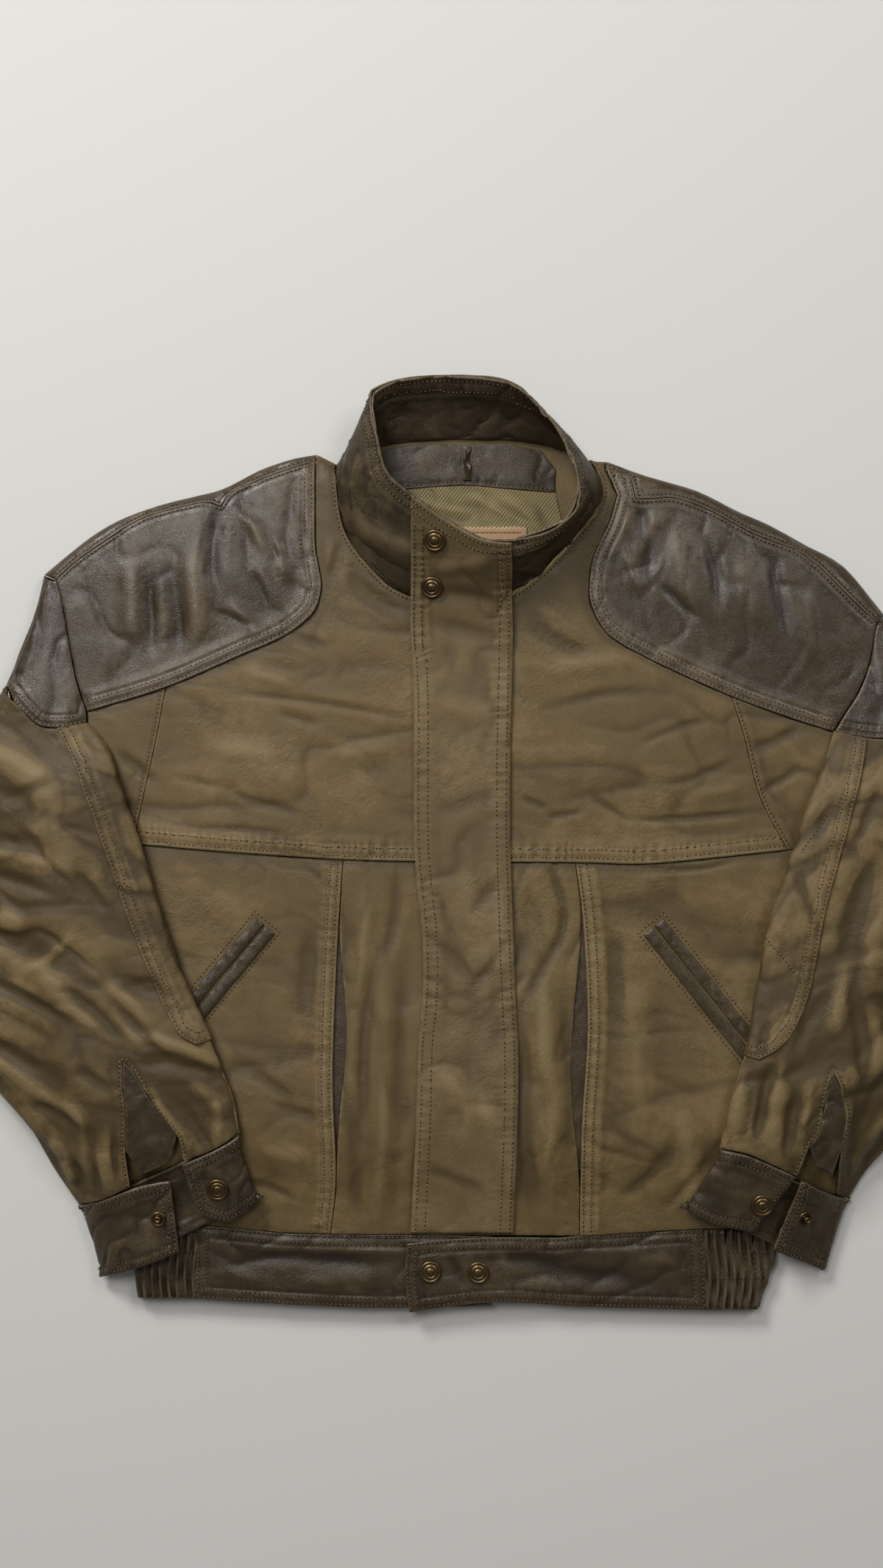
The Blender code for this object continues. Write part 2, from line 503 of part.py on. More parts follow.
def build_body_front(leather, dark):
    """Chest, side, yoke, lower and pleat panels on both sides."""
    bell = SLIT_R.points.copy()
    bell[:, 0] += 8.0 * np.sin(np.pi * np.clip((-40.0 - bell[:, 1]) / 190.0, 0.0, 1.0)) ** 2
    bell_l = SLIT_L.points.copy()
    bell_l[:, 0] -= 10.0 * np.sin(np.pi * np.clip((-30.0 - bell_l[:, 1]) / 215.0, 0.0, 1.0)) ** 2
    rings = {
        "yoke_r": (dark, ring_of(SHOULDER_SEAM_R.points, YOKE_EDGE_R.points,
                                 ARMHOLE_R.cut(4, 1))),
        "yoke_l": (dark, ring_of(SHOULDER_SEAM_L.points, YOKE_EDGE_L.points,
                                 ARMHOLE_L.cut(4, 1))),
        "chest_r": (leather, ring_of(YOKE_EDGE_R.cut(7, 0), SHOULDER_FOLD_R.cut(1, 0),
                                     NECK_R.points, CENTRE.cut(0, 1), CHEST_SEAM_R.cut(4, 1),
                                     SIDE_PANEL_SEAM_R.points[::-1])),
        "chest_l": (leather, ring_of(YOKE_EDGE_L.cut(7, 0), SHOULDER_FOLD_L.cut(1, 0),
                                     NECK_L.points, CENTRE.cut(0, 1), CHEST_SEAM_L.cut(5, 1),
                                     SIDE_PANEL_SEAM_L.points[::-1])),
        "side_panel_r": (leather, ring_of(YOKE_EDGE_R.cut(7, 8), ARMHOLE_R.cut(4, 7),
                                          SIDE_FOLD_R.cut(0, 1), CHEST_SEAM_R.cut(0, 1),
                                          SIDE_PANEL_SEAM_R.points[::-1])),
        "side_panel_l": (leather, ring_of(YOKE_EDGE_L.cut(7, 9), ARMHOLE_L.cut(4, 7),
                                          SIDE_FOLD_L.cut(0, 1), CHEST_SEAM_L.cut(0, 1),
                                          SIDE_PANEL_SEAM_L.points[::-1])),
        "pleat_front_r": (leather, ring_of(CHEST_SEAM_R.cut(3, 4), CENTRE.cut(1, 2),
                                           WAIST_SEAM_R.cut(4, 3), bell[::-1])),
        "pleat_front_l": (leather, ring_of(CHEST_SEAM_L.cut(4, 5), CENTRE.cut(1, 2),
                                           WAIST_SEAM_L.cut(5, 4), bell_l[::-1])),
    }
    for name, (material, ring) in rings.items():
        shell(name, sheet(ring, front, BODY_SPACING, BODY_FOLDS, FRONT_ROWS), LEATHER, material)
    lower = {
        "r": (ring_of(SIDE_FOLD_R.cut(1, 6), WAIST_SEAM_R.cut(0, 3), SLIT_R.points[::-1],
                      CHEST_SEAM_R.cut(3, 0)), welt_rings((-132.3, -55.8), (-0.64, -0.77))),
        "l": (ring_of(SIDE_FOLD_L.cut(1, 6), WAIST_SEAM_L.cut(0, 4), SLIT_L.points[::-1],
                      CHEST_SEAM_L.cut(4, 0)), welt_rings((131.3, -56.8), (0.62, -0.785))),
    }
    for side, (ring, welts) in lower.items():
        marks = [np.vstack([welt, welt[:1]]) for welt in welts]
        panel = sheet(ring, front, BODY_SPACING, BODY_FOLDS, FRONT_ROWS, marks)
        shell(f"lower_front_{side}", panel, LEATHER, leather)
        for name, welt in zip(("upper", "lower"), welts):
            shell(f"pocket_welt_{name}_{side}", panel.part_within(welt), WELT, dark,
                  raised=LAID_GAP + WELT)
    slits = {"r": ring_of(SLIT_R.points[2:-3] - (5.0, 0.0), (bell[2:-3] + (4.0, 0.0))[::-1]),
             "l": ring_of(SLIT_L.points[2:-3] + (5.0, 0.0), (bell_l[2:-3] - (4.0, 0.0))[::-1])}
    for side, ring in slits.items():
        below = sheet(ring, front, BODY_SPACING)
        shell(f"slit_welt_{side}", below, LEATHER, dark, raised=-LEATHER - 2 * LAID_GAP)


WELT_LENGTH = 150.0
WELT_WIDTH = 8.0
WELT_SLIT = 1.4


def welt_rings(top, direction):
    """The two long welts of a slanted pocket, as plan rings, from its top end downwards."""
    run = np.array(direction) / math.hypot(*direction)
    side = np.array((-run[1], run[0])) if direction[0] < 0 else np.array((run[1], -run[0]))
    stations = np.linspace(0.0, WELT_LENGTH, 9)
    rings = []
    for near, far in ((WELT_SLIT / 2, WELT_SLIT / 2 + WELT_WIDTH),
                      (-WELT_SLIT / 2 - WELT_WIDTH, -WELT_SLIT / 2)):
        first = [top + run * s + side * near for s in stations]
        second = [top + run * s + side * far for s in stations[::-1]]
        rings.append(ring_of(np.array(first), np.array(second)))
    return rings


def build_body_back(leather, dark, lining):
    """Back panel, the yokes that wrap over the shoulders, and what lies inside the neck."""
    ring = ring_of(BACK_YOKE_EDGE_R.points, ARMHOLE_R.cut(4, 7), SIDE_FOLD_R.points,
                   BACK_WAIST.points, SIDE_FOLD_L.points[::-1], ARMHOLE_L.cut(7, 4),
                   BACK_YOKE_EDGE_L.points[::-1], SHOULDER_FOLD_L.cut(1, 0),
                   NECK_BACK.points[::-1], SHOULDER_FOLD_R.cut(0, 1))
    panel = sheet(ring, back, HIDDEN_SPACING, BODY_FOLDS, BACK_ROWS, underside=True)
    shell("back_body", panel, LEATHER, leather)
    for side, fold, seam, edge, hole in (
            ("r", SHOULDER_FOLD_R, SHOULDER_SEAM_R, BACK_YOKE_EDGE_R, ARMHOLE_R.cut(0, 4)),
            ("l", SHOULDER_FOLD_L, SHOULDER_SEAM_L, BACK_YOKE_EDGE_L, ARMHOLE_L.cut(0, 4))):
        under = ring_of(fold.cut(1, len(fold.at) - 1), hole, edge.points[::-1])
        panel = sheet(under, back, HIDDEN_SPACING, BODY_FOLDS, BACK_ROWS, underside=True)
        shell(f"back_yoke_{side}", panel, LEATHER, dark)
        strip = ring_of(fold.cut(1, len(fold.at) - 1), seam.points)
        panel = sheet(strip, front, BODY_SPACING, BODY_FOLDS, (1.2, 4.0))
        shell(f"shoulder_wrap_{side}", panel, LEATHER, dark)
    inside = back_inside(LAID_GAP)
    facing = ring_of([(-62, 240)], Line([(-62, 262), (-48, 270.5), (-24, 273), (8, 273.5),
                                         (36, 273), (56, 269), (66, 256)]).points,
                     Line([(66, 240), (30, 243), (2, 245), (-30, 243), (-62, 240)]).points)
    shell("neck_facing", sheet(facing, inside, HIDDEN_SPACING), LINING, dark, raised=LINING)
    cloth = ring_of(Line([(-62, 239.4), (-30, 242.4), (2, 244.4), (30, 242.4), (66, 239.4)]).points,
                    [(74, 190), (60, 150), (-40, 150), (-66, 190)])
    shell("back_lining", sheet(cloth, inside, HIDDEN_SPACING), LINING, lining, raised=LINING)


def back_inside(gap):
    """The height field just inside the flat back panel."""
    def height(x, y):
        return np.full(np.shape(x), LEATHER + gap)
    return height


# Waist
HEM_R = Line([(-180.5, -311), (-144, -313.5), (-65.5, -317.5), (-12.5, -317), (22, -316)])
HEM_L = Line([(-34.5, -320), (9, -314), (36.5, -313.5), (78, -316.5), (129.5, -318), (168.5, -319)])
TAB_HEIGHT = BAND + 2 * LAID_GAP
TAB_EASE = (26.0, 60.0)
GATHER_PITCH = 7.0
GATHER_DEPTH = 0.6
ELASTIC_ROWS = 5
ELASTIC_STEPS = 22
ELASTIC_ACROSS = 14
ELASTIC_LENGTH = 43.0
ELASTIC_BULGE = 4.0
FRONT_END_R = -180.3
FRONT_END_L = 166.6
BAND_FOLD = 6.0


def waist_front(x, y):
    """Height of the wearer's right waistband, which lies level."""
    return np.full(np.shape(x), WAIST_HEIGHT)


def waist_tab(x, y):
    """Height of the wearer's left waistband: its tab lies on the right one."""
    return WAIST_HEIGHT + TAB_HEIGHT * (1.0 - eased(*TAB_EASE, x))


def build_waist(dark):
    """Front waistbands, the tab, and the elastic back band that comes round both sides."""
    right = ring_of(WAIST_SEAM_R.cut(1, 4), [(22, -268.4)], HEM_R.points[::-1])
    shell("waistband_r", sheet(right, waist_front, BODY_SPACING), BAND, dark)
    left = ring_of(WAIST_SEAM_L.cut(2, 4), Line([(64, -269.5), (26, -268.5), (-16, -270.5),
                                                 (-36, -273)]).points,
                   [(-37.5, -294)], HEM_L.points)
    shell("waistband_l", sheet(left, waist_tab, 14.0), BAND, dark)
    shell("back_waistband", surface_grid(elastic_points()), BAND, dark)


def elastic_side(top, hem, away):
    """Columns of the gathered band from its front end to underneath its side fold.

    top and hem each go from the front end to the fold; away is -1 on the wearer's right, else 1.
    """
    shares = np.linspace(0.0, 1.0, ELASTIC_ROWS)
    channel = 0.4 + 0.6 * np.abs(np.cos(2 * np.pi * shares))
    start = mix(np.array(top[0]), np.array(hem[0]), shares[:, None])
    edge = mix(np.array(top[1]), np.array(hem[1]), shares[:, None])
    edge[:, 0] += away * ELASTIC_BULGE * np.sin(np.pi * np.minimum(shares * 1.3, 1.0))
    turn = edge - (away * BAND_FOLD, 0.0)
    level = WAIST_HEIGHT - GATHER_DEPTH
    columns = []
    for i in range(ELASTIC_STEPS):
        wave = np.sin(2 * np.pi * i * ELASTIC_LENGTH / ELASTIC_STEPS / GATHER_PITCH)
        height = level + GATHER_DEPTH * wave * channel * min(1.0, i / 3)
        columns.append(np.column_stack([mix(start, turn, i / ELASTIC_STEPS), height]))
    for angle in np.radians((90, 60, 30, 0, -30, -60, -90)):
        plan = turn + (away * BAND_FOLD * math.cos(angle), 0.0)
        height = np.full(len(plan), level / 2 * (1.0 + math.sin(angle)))
        columns.append(np.column_stack([plan, height]))
    return columns


def elastic_points():
    """The gathered band: front end, round the side fold, flat across the back, and round again."""
    right = elastic_side([(-180, -260.8), (-223, -261.3)], [(-180.5, -311), (-220, -311)], -1.0)
    left = elastic_side([(166, -264), (217.5, -263.3)], [(168.5, -319), (205.5, -318.5)], 1.0)
    across = [mix(right[-1], left[-1], share)
              for share in np.linspace(0.0, 1.0, ELASTIC_ACROSS)[1:-1]]
    return np.array(right + across + left[::-1])


# Collar: matched points on the neck seam and on the rim, with the rim's height, clockwise from
# the middle of the front as the jacket lies
COLLAR_STATIONS = [
    ((-12.8, 162), (-12.8, 219), 43), ((-27.5, 165.5), (-25, 227.5), 45),
    ((-48, 174.5), (-36, 236), 46), ((-67.5, 194.5), (-46, 243.5), 47),
    ((-78.5, 212.5), (-51, 251), 47), ((-83, 233.5), (-54, 263), 46),
    ((-84.5, 252), (-57, 279), 43), ((-81, 263), (-60.5, 294), 38), ((-68, 270), (-60, 305), 34),
    ((-52, 274), (-49, 311.5), 32), ((-24, 276.8), (-26, 315.5), 31), ((8, 277.4), (6, 316), 31),
    ((37.5, 276.8), (28, 314), 32), ((62, 273.3), (43.5, 306), 36), ((79, 267.5), (55, 291.5), 41),
    ((90, 258), (66, 277), 46), ((96, 248), (73.5, 260), 50), ((97.5, 238), (78, 246), 52),
    ((94, 226.5), (79.5, 232.5), 53), ((84, 214), (76, 221), 53), ((70, 197), (66, 211.5), 52),
    ((56, 183), (51.5, 205.5), 50), ((36, 169), (34, 201.5), 48), ((12.5, 164), (16, 202.5), 45),
    ((0, 162.5), (2, 210), 43.5), ((-12.2, 162), (-12.2, 218.7), 43)]
COLLAR_ROWS = 5
COLLAR_BELLY = 2.5
BACK_NECK_HEIGHT = 2.4


def collar_points(rows=COLLAR_ROWS):
    """The collar's outer face as rows of points from the neck seam to the rim."""
    base = np.array([station[0] for station in COLLAR_STATIONS], float)
    rim = np.array([(*station[1], station[2]) for station in COLLAR_STATIONS], float)
    above_front = front(base[:, 0], base[:, 1]) + 0.5
    above_back = back(base[:, 0], base[:, 1]) + BACK_NECK_HEIGHT
    behind = eased(258.0, 266.0, base[:, 1])
    seam = np.column_stack([base, mix(above_front, above_back, behind)])
    points = np.array([mix(seam, rim, share) for share in np.linspace(0.0, 1.0, rows)])
    run = np.gradient(points, axis=1)
    rise = np.gradient(points, axis=0)
    normal = np.cross(rise, run)
    normal /= np.linalg.norm(normal, axis=2)[:, :, None]
    belly = np.sin(np.pi * np.linspace(0.0, 1.0, rows))[:, None, None]
    return points + normal * belly * COLLAR_BELLY


def build_collar(leather, dark):
    """The stand collar, its facing, the label and the hanger loop."""
    grid = surface_grid(collar_points())
    middle = grid.points.mean(axis=0)
    share = ((grid.points - middle)[:, :2] * grid.normals[:, :2]).sum()
    if share < 0:
        grid = surface_grid(collar_points(), flip=True)
    shell("collar_outer", grid, COLLAR_LAYER, leather)
    shell("collar_facing", grid, COLLAR_LAYER, dark, raised=-COLLAR_LAYER - LAID_GAP)
    return grid


# Placket: left and right edges from the waist to the neck seam
PLACKET_LEFT = Line([(-33.5, -266), (-29, -177), (-28.5, -127), (-24.5, -92), (-25.5, -52),
                     (-31, -2), (-31, 123), (-32.5, 153), (-34, 172)], step=24.0)
PLACKET_RIGHT = Line([(36.5, -266), (39.5, -177), (39.5, -127), (37.5, -92), (36, -52), (34, 23),
                      (35, 123), (36, 153), (36, 171)], step=24.0)
PLACKET_ACROSS = 6
PLACKET_UP = 17
PLACKET_ON_COLLAR = 5


def placket_points(collar):
    """The placket's outer face: up the front, over the neck seam and on to the collar's rim."""
    columns = np.linspace(0.0, 1.0, PLACKET_ACROSS + 1)
    left = np.interp(np.linspace(0, 1, PLACKET_UP), np.linspace(0, 1, len(PLACKET_LEFT.points)),
                     PLACKET_LEFT.points[:, 0])
    right = np.interp(np.linspace(0, 1, PLACKET_UP), np.linspace(0, 1, len(PLACKET_RIGHT.points)),
                      PLACKET_RIGHT.points[:, 0])
    levels = np.linspace(-266.0, 150.0, PLACKET_UP)
    rows = []
    for x0, x1, y in zip(left, right, levels):
        x = mix(x0, x1, columns)
        height = front(x, np.full(len(x), y)) + PLACKET_CLEAR + LEATHER
        height += 0.6 * eased(120.0, 150.0, y)
        rows.append(np.column_stack([x, np.full(len(x), y), height]))
    count = len(COLLAR_STATIONS)
    face = collar.points.reshape(COLLAR_ROWS, count, 3)
    out = collar.normals.reshape(COLLAR_ROWS, count, 3)
    for level in np.linspace(0.2, 1.0, PLACKET_ON_COLLAR):
        row = level * (COLLAR_ROWS - 1)
        low = min(int(row), COLLAR_ROWS - 2)
        line = mix(face[low], face[low + 1], row - low)
        away = mix(out[low], out[low + 1], row - low)
        order = [2, 1, 0, 25, 24, 23, 22]
        line = line[order] + away[order] * (PLACKET_CLEAR + LEATHER)
        target = mix(-33.0, 35.0, columns)
        rows.append(np.column_stack([np.interp(target, line[:, 0], line[:, i])
                                     for i in range(3)]))
    return np.array(rows)


def build_placket(collar, leather):
    """The placket over the middle of the front and of the collar."""
    grid = surface_grid(placket_points(collar), flip=True)
    if grid.normals[:, 2].sum() < 0:
        grid = surface_grid(placket_points(collar))
    shell("placket", grid, LEATHER, leather)
    return grid


def build_sleeves(leather, dark):
    """Cap, under cap, top, under sleeve, elbow patch and vent gusset of both sleeves."""
    sides = {
        "r": (SLEEVE_OUTER_R, SLEEVE_INNER_R, CAP_SEAM_R, CUFF_SEAM_R, VENT_R, GUSSET_HEM_R,
              PATCH_EDGE_R, UNDERARM_R, ARMHOLE_R, 5),
        "l": (SLEEVE_OUTER_L, SLEEVE_INNER_L, CAP_SEAM_L, CUFF_SEAM_L, VENT_L, GUSSET_HEM_L,
              PATCH_EDGE_L, UNDERARM_L, ARMHOLE_L, 4)}
    for side, lines in sides.items():
        outer, inner, cap, cuff, vent, hem, patch, underarm, armhole, corner = lines
        if side == "r":
            tip, vent_first, vent_last = 3, cuff.cut(0, 2), cuff.cut(3, 5)
        else:
            tip, vent_first, vent_last = 2, cuff.cut(0, 1), cuff.cut(3, 6)
        last = len(outer.at) - 1
        folds = [outer, inner]
        ring = ring_of(armhole.cut(0, corner), cap.points[::-1], outer.cut(tip, 0))
        shell(f"sleeve_cap_{side}", sheet(ring, sleeve_top, BODY_SPACING, [outer], FRONT_ROWS),
              LEATHER, dark)
        ring = ring_of(armhole.cut(0, len(armhole.at) - 1), underarm.cut(2, 0),
                       outer.cut(tip, 0))
        shell(f"under_cap_{side}", sheet(ring, cap_under, HIDDEN_SPACING, [outer], BACK_ROWS,
                                         underside=True), LEATHER, dark)
        ring = ring_of(cap.points, inner.points, vent_last[::-1], vent.points[::-1],
                       vent_first[::-1], outer.cut(last, tip))
        top = sheet(ring, sleeve_top, SLEEVE_SPACING, folds, FRONT_ROWS, [patch.points])
        shell(f"sleeve_top_{side}", top, LEATHER, leather)
        start = int(np.hypot(*(cap.points - patch.points[0]).T).argmin())
        end = int(np.hypot(*(inner.points - patch.points[-1]).T).argmin())
        area = ring_of(patch.points, inner.points[:end + 1][::-1], cap.points[start:][::-1])
        shell(f"elbow_patch_{side}", top.part_within(area), LEATHER * 0.75, leather,
              raised=LAID_GAP + LEATHER * 0.75)
        ring = ring_of(underarm.cut(0, 4), inner.points[2:], [cuff.points[-1]], [cuff.points[0]],
                       outer.cut(last, tip))
        beside = (SIDE_FOLD_R if side == "r" else SIDE_FOLD_L).points
        beside = beside + ((-2.0, 0.0) if side == "r" else (2.0, 0.0))
        shell(f"sleeve_under_{side}", sheet(ring, sleeve_under, UNDER_SPACING, folds, BACK_ROWS,
                                            [beside], underside=True), LEATHER, leather)
        ring = ring_of(vent.cut(1, len(vent.at) - 2), hem.points[1:-1][::-1])
        shell(f"cuff_gusset_{side}", sheet(ring, sleeve_top, SLEEVE_SPACING), LEATHER, dark)


# Cuffs: the edge sewn to the sleeve and the open mouth, from the stud end over the outer fold,
# underneath, over the inner fold to the snap end, with the height of each point
CUFF_R = ([(-196, -228), (-208, -230), (-220.5, -233), (-241, -242), (-254, -246.8),
           (-261, -249), (-255, -246.5), (-241, -240), (-220, -230.2), (-195, -218.6),
           (-171, -207.4), (-155, -200), (-148, -196.4), (-156, -202.4), (-171, -209.8),
           (-187, -216.5)],
          [(-190, -276.5), (-199, -280), (-208, -284), (-229.5, -291), (-241, -295), (-247, -297),
           (-241, -294), (-229, -287), (-208, -277), (-185, -265), (-160, -253), (-141, -244),
           (-133.5, -240), (-143, -248.5), (-157.5, -257), (-176, -251)])
CUFF_L = ([(230.5, -227.9), (237, -231.4), (245, -235.8), (256, -240.9), (262.5, -243.5),
           (267, -245.2), (262, -243.2), (250, -238.3), (230, -229.9), (210, -221.5),
           (193, -214.3), (181, -209.3), (174.8, -206.6), (182, -207.8), (195, -210.4),
           (226.5, -225.6)],
          [(212, -275), (222, -279.8), (232.3, -284.5), (243, -289.5), (249, -292.2),
           (251, -292.8), (249, -290), (235, -283), (212, -273), (190, -262.5), (168, -252.5),
           (155, -247.5), (150.5, -246), (157, -251), (172.4, -258.7), (199, -263)])
CUFF_HEIGHTS = [CUFF_TOP] * 4 + [10.0, 5.6, 1.2] + [CUFF_UNDER] * 4 + [1.2, 5.6, 10.0] \
    + [CUFF_TOP] * 2
CUFF_ROWS = 5


def build_cuffs(dark):
    """Both cuffs, each an open ring of leather round the end of its sleeve."""
    for side, (sewn, mouth) in (("r", CUFF_R), ("l", CUFF_L)):
        sewn, mouth = np.array(sewn, float), np.array(mouth, float)
        rows = []
        for share in np.linspace(0.004, 1.0, CUFF_ROWS):
            plan = mix(sewn, mouth, share)
            height = ground(plan[:, 0], plan[:, 1]) + np.array(CUFF_HEIGHTS)
            rows.append(np.column_stack([plan, height]))
        grid = surface_grid(np.array(rows))
        if grid.normals.reshape(CUFF_ROWS, -1, 3)[:, 1, 2].mean() < 0:
            grid = surface_grid(np.array(rows), flip=True)
        shell(f"cuff_{side}", grid, BAND, dark)


def snap_profile(radius, stud):
    """Half outline of a snap's cap or stud, from its top down to its seat."""
    if stud:
        return [(0, 3.2), (1.6, 3.2), (1.9, 1.4), (radius, 1.2), (radius, 0), (0, 0)]
    return [(0, 1.7), (2.6, 1.8), (3.3, 2.5), (6.2, 2.4), (radius, 1.3), (radius, 0), (0, 0)]


def add_snap(name, seat, normal, metal, stud=False):
    """A turned snap part standing on its seat along the leather's normal."""
    radius = STUD_RADIUS if stud else SNAP_RADIUS
    outline = snap_profile(radius, stud)
    mesh = bpy.data.meshes.new(name)
    mesh.from_pydata([(r * MM, 0, h * MM) for r, h in outline],
                     [(i, i + 1) for i in range(len(outline) - 1)], [])
    item = add_object(name, mesh, metal)
    screw = item.modifiers.new("turn", "SCREW")
    screw.axis = "Z"
    screw.steps = screw.render_steps = SNAP_STEPS
    screw.use_merge_vertices = True
    screw.merge_threshold = 0.00001
    up = Vector(normal)
    item.location = (Vector(seat) + up * LAID_GAP) * MM
    item.rotation_mode = "QUATERNION"
    item.rotation_quaternion = up.to_track_quat("Z", "X")


PLACKET_SNAPS = [(-17, 203), (-19, 173)]
WAIST_SNAPS = [(-20, -292), (12.5, -292.5)]
CUFF_SNAPS = {"r": ((-163.5, -233.5), (-204, -254)), "l": ((204, -244.5), (234, -254.5))}


def build_snaps(placket, metal):
    """Snaps on the placket, the waist tab and the cuffs."""
    for number, (x, y) in enumerate(PLACKET_SNAPS, 1):
        close = np.argsort(np.hypot(placket.points[:, 0] - x, placket.points[:, 1] - y))[:4]
        normal = placket.normals[close].mean(axis=0)
        normal /= np.linalg.norm(normal)
        middle = placket.points[close].mean(axis=0)
        height = middle[2] - ((x - middle[0]) * normal[0] + (y - middle[1]) * normal[1]) / normal[2]
        disc = placket.points[np.hypot(placket.points[:, 0] - x, placket.points[:, 1] - y) < 14]
        above = ((disc - (x, y, height)) @ normal).max()
        seat = np.array((x, y, height)) + normal * max(above, 0.0) * 0.8
        add_snap(f"placket_snap_{number}", tuple(seat), tuple(normal), metal)
    for number, (x, y) in enumerate(WAIST_SNAPS, 1):
        seat = (x, y, float(waist_tab(np.array([x]), np.array([y]))[0]))
        add_snap(f"waist_snap_{number}", seat, (0, 0, 1), metal)
    for side, (cap, stud) in CUFF_SNAPS.items():
        for kind, (x, y) in (("snap", cap), ("stud", stud)):
            reach = STUD_RADIUS if kind == "stud" else SNAP_RADIUS
            around = np.array([(x + reach * dx, y + reach * dy, 0.0)
                               for dx in (-1, 0, 1) for dy in (-1, 0, 1)])
            around[:, 2] = ground(around[:, 0], around[:, 1]) + CUFF_TOP
            slope_x = (around[7, 2] - around[1, 2]) / (2 * reach)
            slope_y = (around[5, 2] - around[3, 2]) / (2 * reach)
            normal = np.array((-slope_x, -slope_y, 1.0))
            normal /= np.linalg.norm(normal)
            above = ((around - around[4]) @ normal).max()
            seat = around[4] + normal * above
            add_snap(f"cuff_{kind}_{side}", tuple(seat), tuple(normal), metal, kind == "stud")


def finish(name, colour, roughness, metallic=0.0):
    """A plain material."""
    material = bpy.data.materials.new(name)
    material.use_nodes = True
    shader = material.node_tree.nodes["Principled BSDF"]
    shader.inputs["Base Color"].default_value = (*colour, 1.0)
    shader.inputs["Roughness"].default_value = roughness
    shader.inputs["Metallic"].default_value = metallic
    material.diffuse_color = (*colour, 1.0)
    return material


def build_small_pieces(dark, tan):
    """The blank label on the lining and the hanger loop below the back neck seam."""
    inside = back_inside(2 * LAID_GAP + LINING)
    ring = ring_of([(-2.5, 190), (-2.5, 217), (46, 217), (46, 190)])
    shell("blank_label", sheet(ring, inside, HIDDEN_SPACING), 0.8, tan, raised=0.8)
    ring = ring_of([(2, 248), (2, 272), (8, 272), (8, 248)])
    shell("hanger_loop", sheet(ring, inside, HIDDEN_SPACING), 1.2, dark, raised=1.2)


def main():
    """Build the whole jacket."""
    for item in list(bpy.data.objects):
        bpy.data.objects.remove(item)
    collection = bpy.data.collections.new("worn_leather_jacket")
    bpy.context.scene.collection.children.link(collection)
    olive = finish("olive_leather", (0.147, 0.107, 0.056), 0.6)
    brown = finish("dark_leather", (0.07, 0.056, 0.04), 0.4)
    striped = finish("striped_lining", (0.159, 0.125, 0.054), 0.6)
    tan = finish("label_leather", (0.407, 0.262, 0.138), 0.7)
    brass = finish("aged_brass", (0.25, 0.17, 0.08), 0.35, 1.0)
    build_body_front(olive, brown)
    build_body_back(olive, brown, striped)
    build_waist(brown)
    collar = build_collar(olive, brown)
    placket = build_placket(collar, olive)
    build_sleeves(olive, brown)
    build_cuffs(brown)
    build_small_pieces(brown, tan)
    build_snaps(placket, brass)


main()
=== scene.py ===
"""The looks of a worn leather jacket that lies flat on the floor.

Every cut-and-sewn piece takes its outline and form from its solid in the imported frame. It gets a
finer mesh with rolled edges, creases and gathers, and rows of real stitches. Sizes are in
millimetres, in the frame's own directions, until a mesh is made from them.
"""

import json
import logging
import math
from dataclasses import dataclass, field
from enum import Enum

import bpy
import numpy as np
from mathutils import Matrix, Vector, noise
from mathutils.bvhtree import BVHTree
from mathutils.geometry import delaunay_2d_cdt
from mathutils.kdtree import KDTree

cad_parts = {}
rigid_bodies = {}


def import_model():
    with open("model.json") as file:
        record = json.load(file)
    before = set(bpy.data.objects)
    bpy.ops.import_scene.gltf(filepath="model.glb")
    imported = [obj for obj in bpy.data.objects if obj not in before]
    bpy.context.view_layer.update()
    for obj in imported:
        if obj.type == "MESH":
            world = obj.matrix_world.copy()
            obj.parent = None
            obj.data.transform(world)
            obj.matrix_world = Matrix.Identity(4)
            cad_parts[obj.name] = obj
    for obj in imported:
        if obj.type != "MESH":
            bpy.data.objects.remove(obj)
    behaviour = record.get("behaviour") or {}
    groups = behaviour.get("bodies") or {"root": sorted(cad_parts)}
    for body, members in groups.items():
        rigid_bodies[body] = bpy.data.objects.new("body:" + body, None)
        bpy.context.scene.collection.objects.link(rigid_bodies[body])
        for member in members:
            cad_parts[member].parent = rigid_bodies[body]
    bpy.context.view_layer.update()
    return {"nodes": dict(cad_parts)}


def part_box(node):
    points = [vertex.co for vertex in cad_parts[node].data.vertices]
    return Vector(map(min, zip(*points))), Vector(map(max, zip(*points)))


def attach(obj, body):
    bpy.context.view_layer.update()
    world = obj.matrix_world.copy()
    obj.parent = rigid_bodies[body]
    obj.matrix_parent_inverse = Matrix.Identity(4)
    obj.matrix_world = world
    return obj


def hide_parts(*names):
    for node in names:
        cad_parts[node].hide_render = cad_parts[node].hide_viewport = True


LOG = logging.getLogger("worn_leather_jacket")
MM = 0.001
Point = tuple[float, float]
# The turn, in degrees, from which a bend in a coarse line is a real corner
CORNER_TURN = 32.0

for item in list(bpy.data.objects):
    bpy.data.objects.remove(item)
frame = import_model()


class Side(Enum):
    """The side of the jacket as it lies in view: RIGHT is on the wearer's right."""

    RIGHT = "r"
    LEFT = "l"


class Facing(Enum):
    """The way the shown sheet of a piece faces."""

    UP = 1.0
    DOWN = -1.0


def eased(low: float, high: float, value: np.ndarray) -> np.ndarray:
    """A smooth step from 0 at low to 1 at high.

    Args:
        low: the value where the step starts.
        high: the value where it ends.
        value: the numbers to ease.

    Returns:
        The eased numbers, each from 0 to 1.
    """
    share = np.clip((np.asarray(value, float) - low) / (high - low), 0.0, 1.0)
    return share * share * (3.0 - 2.0 * share)


